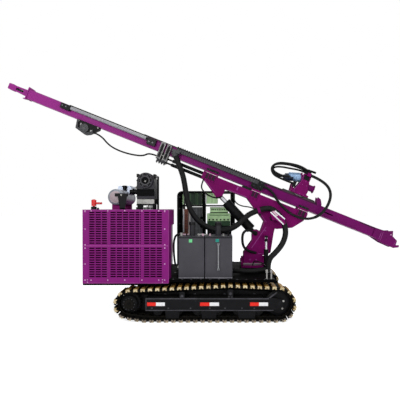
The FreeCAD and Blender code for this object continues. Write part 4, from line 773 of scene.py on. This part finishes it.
# Tanks: lids, seams, a painted highlight along their lower edge, blank stickers, caps and small fittings
FITTINGS = ((-328, "pale_metal"), (-262, "plastic_black"), (-92, "pale_metal"), (-40, "pale_pink"),
            (58, "pale_pink"), (240, "pale_metal"), (306, "plastic_black"))
b = Build()
for x0, x1 in ((-363, -16), (-8, 360)):
    b.box((x0 + 3, -752, 1092), (x1 - 3, -748, 1110), "tank_edge")
    b.box((x0 + 3, -751.5, 1086), (x1 - 3, -749, 1092), "black_deep")
    # A light line along the lower edge: a painted highlight
    b.box((x0 + 3, -752, 550), (x1 - 3, -748, 562), "tank_highlight")
    for x in (x0 + 30, (x0 + x1) / 2, x1 - 30):
        b.bolt((x, -720, 1110), UP, 7, "tank_edge")
b.box((-222, -752, 1029), (-178, -749.5, 1073), "sticker_green")
b.box((134, -752, 1035), (181, -749.5, 1075), "sticker_teal")
b.lathe((-187, -600, 1258), UP, [(0, 45), (30, 45), (36, 42), (43, 40)], "plastic_black", 28)
b.lathe((167, -600, 1252), UP, [(0, 46), (14, 48), (30, 45), (42, 34), (50, 16), (52, 4)],
        "plastic_black", 28)
for x, finish in FITTINGS:
    b.lathe((x, -640, 1109), UP, [(0, 15), (10, 15), (10, 11), (26, 11), (30, 7)], finish, 12)
b.rod((-120, -560, 1122), (20, -560, 1122), 11, "pale_metal", 12)
b.rod((-330, -560, 1122), (-236, -560, 1122), 11, "pale_pink", 12)
for z in (664, 996):
    b.lathe((172, -780, z + 12), NEAR, [(-2, 9), (4, 9), (7, 5)], "steel", 12)
b.box((352, -700, 566), (366, -640, 640), "black_part")
b.lathe((-328, -700, 1109), UP, [(0, 22), (12, 22), (12, 18), (46, 18)], "pale_metal", 12)
b.lathe((-364, -700, 696), BACK, [(0, 22), (8, 22), (8, 17), (18, 17)], "pale_metal", 12)
b.done("tank_trim", "base", bevel=1.0)

# Engine bay: what shows in the open side
b = Build()
b.box((-308, 309, 1539), (-101, 314, 1733), "green_dark")
for x in (-290, -196, -168):
    b.box((x, 306.5, 1546), (x + 5, 309, 1728), "green_mid")
b.box((-47, 309, 1561), (155, 314, 1733), "green_pale")
b.box((-44, 306, 1566), (-24, 309, 1728), "white_tape")
b.box((60, 306, 1572), (66, 309, 1722), "green_mid")
b.box((-414, 318, 1546), (-392, 330, 1734), "green_pale")
for k in range(9):
    x = 54 + 29 * k
    b.box((x, 357, 1452), (x + 16, 361, 1474), "black_deep")
b.box((28, 356, 1404), (322, 361, 1420), "black_deep")
b.box((-17, 336, 1286), (357, 341, 1396), "green_pale")
b.rod((20, 334, 1375), (330, 334, 1375), 7, "green_mid", 10)
b.box((-17, 335, 1204), (357, 341, 1280), "green_deep")
for k in range(6):
    b.bolt((20 + 60 * k, 335, 1300), NEAR, 9, "black_part")
b.lathe((250, 330, 1120), NEAR, [(-12, 62), (6, 62), (10, 40), (30, 36), (34, 20)], "black_part", 28)
b.rod((60, 322, 1150), (220, 322, 1216), 20, "black_part", 14)
for z in (640, 760, 880, 1000):
    b.box((-16, 334, z), (356, 341, z + 18), "black_part")
b.box((-409, 336, 1096), (-386, 341, 1472), "white_tape")
for k in range(14):
    z = 1110 + 25 * k
    b.box((-384, 337, z), (-328, 341, z + 10), "copper_dark")
b.box((-292, 335, 600), (-96, 341, 1500), "box_grey")
for x in (-262, -214, -166, -118):
    b.box((x, 332.5, 620), (x + 5, 335.5, 1488), "black_part")
for z in (1330, 1190):
    b.bolt((-110, 335, z), NEAR, 14, "black_deep")
for x in (-455, 402):
    for z in (1240, 1480, 1660):
        b.bolt((x, 270, z), NEAR, 8, "frame_highlight")
b.rod((-470, 262, 1700), (-470, 262, 1120), 8, "plastic_black", 10)
b.rod((-407, 264, 1524), (363, 264, 1524), 5, "plastic_black", 8)
b.done("engine_bay", "base", bevel=1.0)

# The hood's back with strips in a painted highlight colour, and what stands on the deck: bolts, two posts and
# the rings at the hoses
b = Build()
for z in (700, 980, 1260):
    b.box((REAR - 6, -700, z), (REAR, 700, z + 6), "purple_highlight")
for y in (-560, 0, 560):
    for z in (560, 1420):
        b.bolt((REAR, y, z), BACK, 6, "bolt_pale", 5)
b.box((REAR - 6, -240, 900), (REAR, -200, 1060), "plastic_black")
for y in (-300, 0, 300, 600):
    b.box((-470, y - 20, 548), (-440, y + 20, 553), "frame_highlight")
for x in range(-420, 900, 120):
    b.bolt((x, -840, 550), UP, 8, "frame_highlight")
    b.bolt((x, 846 if x > 440 else 856, 550), UP, 8, "frame_highlight")
b.box((787, -858, 550), (905, -800, 560), "black_part")
for x in (808, 868):
    b.lathe((x, -830, 556), UP, [(0, 16), (8, 16), (8, 10), (84, 10), (84, 17), (112, 17), (124, 13)],
            "pale_metal", 14)
b.lathe((889, -300, 550), UP, [(0, 66), (8, 66), (8, 60), (40, 60), (44, 56)], "black_part", 26)
b.lathe((841, -325, 600), (-1, 0.35, 0), [(-4, 38.5), (-3, 43), (26, 43), (30, 40)], "black_part", 24)
b.lathe((358, -430, 604), AHEAD, [(0, 44), (16, 44), (16, 38.5), (34, 38.5)], "black_part", 24)
b.done("deck_fittings", "base", bevel=1.0)

# Column and base: welds in a painted highlight colour, the caps of the pins, and the striped plate on its
# boss with a painted reflection
b = Build()
for side in (-1, 1):
    y = side * 94
    b.rod((666, y, 887), (884, y, 1203), 6, "purple_highlight", 8)
    b.rod((760, y, 800), (932, y, 812), 5, "purple_highlight", 8)
    for x, z, face, radius in ((977, 1338, 122, 42), (721, 1111, 100, 34)):
        cap = [(-4, radius), (4, radius), (7, radius - 6), (7, radius * 0.45), (10, radius * 0.4)]
        b.lathe((x, side * face, z), (0, side, 0), cap, "black_part", 24)
    for x, z in ((640, 712), (736, 712), (905, 1010), (872, 1150)):
        b.bolt((x, y, z), (0, side, 0), 9, "purple_highlight")
b.lathe((977, -112, 1338), NEAR, [(0, 30), (172, 30)], "purple_deep", 24)
b.slab([(915, 1418), (929, 1431), (972, 1453), (1132, 1321), (1146, 1262), (1118, 1238), (980, 1330),
        (950, 1340)], -290, -282, "purple_deep")
b.slab([(921, 1424), (934, 1437), (1124, 1255), (1112, 1242)], -292, -289, "white_tape")
b.slab([(984, 1441), (998, 1455), (1142, 1334), (1130, 1320)], -292, -289, "white_tape")
# The pale pink patch on the plate: a painted reflection
b.slab([(950, 1440), (980, 1444), (1042, 1386), (1010, 1362)], -291.5, -289, "pale_pink")
b.done("column_trim", "column", bevel=1.0)
b = Build()
for x in (530, 846):
    for y in (-130, 130):
        b.bolt((x, y, 630), UP, 12, "black_part")
for x, way in ((505, -1), (871, 1)):
    b.lathe((x, 0, 700), (way, 0, 0), [(-2, 30), (5, 30), (8, 24)], "black_part", 20)
b.done("base_trim", "base", bevel=1.0)

# Carrier, with the side cylinder's cap: black strips, painted shade, a pale painted highlight and gussets at
# its three pads, and welds in a painted highlight colour
CARRIER = 116  # from the middle of the mast to the carrier's side
b = Build(MAST)
for start, end, count in ((-1190, -990, 4), (-450, -300, 3), (300, 460, 3)):
    for side in (-1, 1):
        b.plate((start + 3, 306), (end - 9, 340), side, CARRIER, CARRIER + 3, "plastic_black")
        # A dark panel between the gussets is painted shade, and the pale pink line above it is a painted
        # highlight
        b.plate((start + 14, 186), (end - 18, 272), side, CARRIER, CARRIER + 2.5, "painted_shade_purple")
        low, high = sorted((side * CARRIER, side * (CARRIER + 2.5)))
        b.box((start + 6, low, 272), (end - 10, high + 1, 279), "pale_pink")
        for k in range(count):
            u = start + 16 + (end - start - 46) * k / (count - 1)
            b.panel([(u, 272), (u + 9, 272), (u + 9, 150), (u, 186)], side, CARRIER, CARRIER + 16,
                    "purple_deep")
        for u in (start + 44, end - 52):
            b.bolt((u, side * (CARRIER + 3), 323), (0, side, 0), 5, "frame_highlight")
for side in (-1, 1):
    b.rod((-1150, side * CARRIER, 150), (-940, side * CARRIER, 34), 5, "purple_highlight", 8)
    b.rod((-760, side * CARRIER, 150), (-470, side * CARRIER, 150), 5, "purple_highlight", 8)
    b.rod((-250, side * (CARRIER + 1), 40), (-60, side * (CARRIER + 1), -92), 4, "purple_highlight", 8)
b.box((-660, -CARRIER - 3, 190), (-640, -CARRIER, 244), "purple_highlight")
for side in (-1, 1):
    b.plate((-594, 256), (-448, 294), side, 78, 114, "plastic_black")
b.done("carrier_trim", "carrier", bevel=1.0)

b = Build()
b.lathe((873, -200, 994), UP, [(0, 22), (4, 26), (70, 26), (74, 22)], "black_part", 20)
b.box((848, -224, 1050), (898, -176, 1080), "black_part")
b.done("side_rod_cap", "side_rod", bevel=1.0)

# Mast: feed tube, painted shade strips under its top edge, a painted highlight strip, welds in a painted
# highlight colour, and the two ends
b = Build(MAST)
b.lathe((-3434, -104, 408), AHEAD, [(0, 24), (1232, 24)], "feed_grey", 24)
b.box((-3463, -79, 440), (-2190, -30, 455), "plastic_black")
b.box((-3420, -79, 431), (-2190, -76, 439), "pale_metal")
for u, v in ((-3544, 402), (-3486, 402), (-2142, 380), (-2086, 380)):
    b.bolt((u, -134, v), NEAR, 8, "steel")
b.lathe((-3464, -104, 408), AHEAD, [(0, 27), (30, 27), (36, 23.5)], "plastic_black", 20)
b.lathe((-2206, -104, 408), AHEAD, [(0, 23.5), (6, 27), (40, 27)], "plastic_black", 20)
# Dark strips just under the top edge are a painted flange shadow; the lighter strip at the far end is a
# painted highlight
b.box((1258, -76.5, 424), (1640, -74, 439), "painted_shade_purple")
b.box((-4110, -76.5, 430), (-3580, -74, 441), "purple_highlight")
for u0, u1 in ((-2020, -1800), (-370, 560)):
    b.box((u0, -76.5, 430), (u1, -74, 442), "painted_shade_purple")
for side in (-1, 1):
    y = side * 93
    for u, low, high in ((1604, 300, 400), (1630, 292, 424)):
        b.plate((u - 4, low), (u + 4, high), side, 93, 97, "purple_highlight")
    b.rod((1846, y, 296), (1856, y, 366), 5, "purple_highlight", 8)
    b.bolt((1752, y, 430), (0, side, 0), 7, "bolt_pale")
b.slab([(-4129, 294), (-4192, 283), (-4196, 292), (-4129, 314)], -30, 30, "purple_mast")
b.box((-4338, -30, 350), (-4212, 30, 392), "black_part")
for u in (-4310, -4280, -4250):
    b.bolt((u, -30, 372), NEAR, 6, "frame_highlight")
for side in (-1, 1):
    for v in (308, 440):
        b.bolt((-4129, side * 80, v), BACK, 8, "purple_highlight")
b.done("mast_trim", "mast", bevel=1.0)

# Drag chain: its lid, links and ends
b = Build(MAST)
b.box((-1713, -139, 440), (-381, -137, 459), "plastic_black")
for k in range(37):
    u = -1708 + 36 * k
    b.slab([(u, 457), (u + 4, 468), (u + 17, 468), (u + 22, 457)], -138, -74, "plastic_black")
    b.box((u + 2, -139.5, 390), (u + 5, -137, 440), "chain_dark")
b.box((-392, -146, 330), (-297, -74, 450), "plastic_black")
b.box((-484, -136, 322), (-391, -76, 389), "plastic_black")
for u, v in ((-344, 366), (-344, 424), (-440, 352)):
    b.bolt((u, -146 if u > -400 else -136, v), NEAR, 6, "frame_highlight")
b.done("chain_teeth", "mast", bevel=0.8)

# Clamp: two straps with their bars and bolts, and hose ends below
b = Build(MAST)
for u in (-1960, -1860):
    b.box((u - 1, -123, 184), (u + 69, -119, 446), "strap_dark")
    for x in (u + 5, u + 63):
        b.rod((x, -123, 190), (x, -123, 440), 6, "pale_metal", 8)
    for v in (440, 206):
        b.rod((u + 5, -123, v), (u + 63, -123, v), 6, "pale_metal", 8)
    b.box((u + 20, -126, 230), (u + 48, -122, 418), "black_part")
    for v in (206, 300, 420):
        for x in (u + 15, u + 54):
            b.bolt((x, -123, v), NEAR, 8, "steel")
for k in range(4):
    u = -1938 + 40 * k
    b.lathe((u, -50, 162), DOWN, [(-2, 15), (14, 15), (14, 10), (30, 10)], "black_part", 12)
for v, finish in ((226, "black_part"), (262, "pale_metal")):
    b.rod((-1968, -96, v), (-1780, -96, v), 9, finish, 10)
b.done("clamp_trim", "mast", bevel=1.0)

# Hose reel: coils on its face and rims
b = Build(MAST)
for radius, low in ((66, -133), (48, -136), (30, -139)):
    coil = [(0, radius), (3, radius), (6, radius - 4), (6, radius - 9), (2, radius - 11)]
    b.lathe((-3118, low + 6, 204), NEAR, coil, "reel_grey", 32)
for k in range(3):
    edge = [(-3262 + 9 * k, 296 - 5 * k), (-3238 + 9 * k, 166 + 9 * k), (-3070, 122 + 10 * k),
            (-3008 - 6 * k, 154 + 10 * k), (-2972 - 8 * k, 192 + 8 * k)]
    for a, c in zip(edge, edge[1:]):
        b.rod((a[0], -118 - 4 * k, a[1]), (c[0], -118 - 4 * k, c[1]), 7, "reel_grey", 8)
for u in (-3240, -2930):
    b.bolt((u, -115, 282), NEAR, 8, "pale_metal")
b.done("reel_coils", "mast", bevel=0.8)

# Head: motor with a painted highlight on its top and end, and bolts, ribs and plates on the bracket, with
# painted highlights on its edges
MOTOR = Matrix.Translation((-44, 0, 660)) @ Matrix.Rotation(math.radians(-17.5), 4, "Y")


def on_motor(x, y=0.0, z=0.0):
    """A place along the motor, in the mast's axes."""
    return MOTOR @ Vector((x, y, z))


b = Build(MAST)
way = on_motor(1) - on_motor(0)
b.lathe(on_motor(-24), way,
        [(0, 30), (4, 36), (20, 36), (24, 50), (30, 57), (70, 58), (72, 54), (80, 54), (82, 58), (140, 58),
         (142, 54), (150, 54)], "navy", 36)
b.lathe(on_motor(122), way, [(0, 54), (4, 60), (44, 60), (48, 66), (110, 66), (112, 61), (117.5, 61)],
        "motor_highlight", 36)
# A silver-blue half shell on the motor's top: a painted highlight
b.lathe(on_motor(50, -16, 26), way, [(0, 34), (8, 48), (170, 50), (178, 46)], "motor_highlight", 32)
for a in around(8):
    b.bolt(on_motor(170, 52 * math.cos(a), 52 * math.sin(a)), -way, 6, "steel")
b.lathe(on_motor(60, -50, 0), NEAR, [(0, 22), (18, 22), (18, 15), (34, 15)], "navy", 16)
b.done("motor_body", "head", bevel=0.8, replaces=["head_motor"])

b = Build(MAST)
for side in (-1, 1):
    y = side * 90
    # A lighter line along the bracket's edge: a painted highlight
    edge = [(194, 800), (205, 708), (182, 626), (136, 506)]
    for a, c in zip(edge, edge[1:]):
        b.rod((a[0] + 4, y, a[1]), (c[0] + 4, y, c[1]), 4, "purple_highlight", 8)
    for u, v in ((157, 501), (248, 494), (308, 494), (236, 640), (300, 640), (268, 700), (230, 770),
                 (296, 770)):
        b.bolt((u, side * 89, v), (0, side, 0), 5, "purple_highlight", 4)
    b.panel([(214, 790), (302, 802), (306, 716), (218, 722)], side, 89, 95, "black_part")
b.box((222, -60, 806), (316, 40, 846), "black_part")
b.box((92, -118, 556), (140, -88, 640), "black_part")
b.rod((240, -62, 872), (366, -62, 878), 17, "black_part", 16)
b.box((262, -76, 838), (300, -48, 876), "black_part")
b.lathe((322, 0, 640), AHEAD, [(0, 58), (14, 58), (16.5, 54)], "purple_highlight", 32)
for a in around(8, 0.5):
    b.bolt((322, 60 * math.cos(a) * 0.75, 640 + 60 * math.sin(a) * 0.75), AHEAD, 5, "steel", 5)
b.done("head_trim", "head", bevel=0.8)
b = Build(MAST)
for a in around(6):
    b.bolt((438, 44 * math.cos(a), 640 + 44 * math.sin(a)), AHEAD, 7, "steel", 5)
b.lathe((437, 0, 640), AHEAD, [(0, 26), (5, 26), (5, 18), (1, 18)], "steel", 20)
b.done("spindle_bolts", "spindle", bevel=0.5)

# Hoses that have no node of their own in the frame
hose("head_loop_outer", "head", [on_mast(*p) for p in (
    (290, 856, -62), (230, 868, -62), (130, 886, -60), (20, 880, -58), (-166, 838, -56), (-250, 790, -60),
    (-292, 720, -70), (-266, 650, -86), (-199, 606, -98), (-57, 600, -102), (60, 600, -102),
    (112, 600, -102))],
    16)
hose("head_loop_middle", "head", [on_mast(*p) for p in (
    (290, 840, -20), (200, 862, -18), (90, 866, -16), (-40, 856, -16), (-170, 820, -22), (-254, 776, -32),
    (-278, 716, -50), (-230, 664, -66), (-120, 650, -80), (-30, 660, -92), (14, 680, -84))],
    14)
hose("head_loop_inner", "head", [on_mast(*p) for p in (
    (260, 828, -44), (163, 832, -44), (76, 822, -44), (-30, 800, -46), (-150, 776, -50), (-240, 740, -50),
    (-270, 690, -44), (-222, 640, -30), (-130, 636, -12), (-50, 658, 0))],
    14)
hose("carrier_line", "carrier", [at(*p) for p in (
    (392, -108, 1706), (394, -140, 1640), (430, -156, 1560), (520, -150, 1516), (640, -146, 1504),
    (720, -140, 1468), (772, -130, 1410), (804, -114, 1380))],
    9)
hose("column_line", "column", [at(*p) for p in (
    (735, -97, 1090), (690, -134, 1130), (600, -170, 1170), (528, -184, 1120), (520, -186, 1000),
    (545, -180, 900), (620, -160, 850), (700, -124, 822), (730, -95, 815))],
    19)
hose("base_line", "base", [at(*p) for p in (
    (905, -325, 596), (884, -320, 650), (800, -270, 690), (720, -214, 712), (684, -164, 690),
    (680, -140, 626))],
    8)
hose("tank_line", "base", [at(*p) for p in (
    (-330, -700, 1134), (-394, -702, 1142), (-428, -708, 1050), (-430, -710, 930), (-420, -708, 800),
    (-404, -704, 702), (-350, -700, 696))],
    14)
hose("carrier_loop", "carrier", [at(*p) for p in (
    (-50, -110, 1925), (-92, -138, 1830), (-70, -148, 1750), (10, -148, 1680), (110, -142, 1640),
    (190, -128, 1640), (216, -106, 1668))],
    11)
ribbed("deck_line", "base", [at(*p) for p in (
    (380, -430, 604), (440, -430, 604), (560, -428, 592), (680, -414, 592), (770, -350, 600),
    (850, -322, 600))],
    38, 22, 4)

low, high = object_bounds()
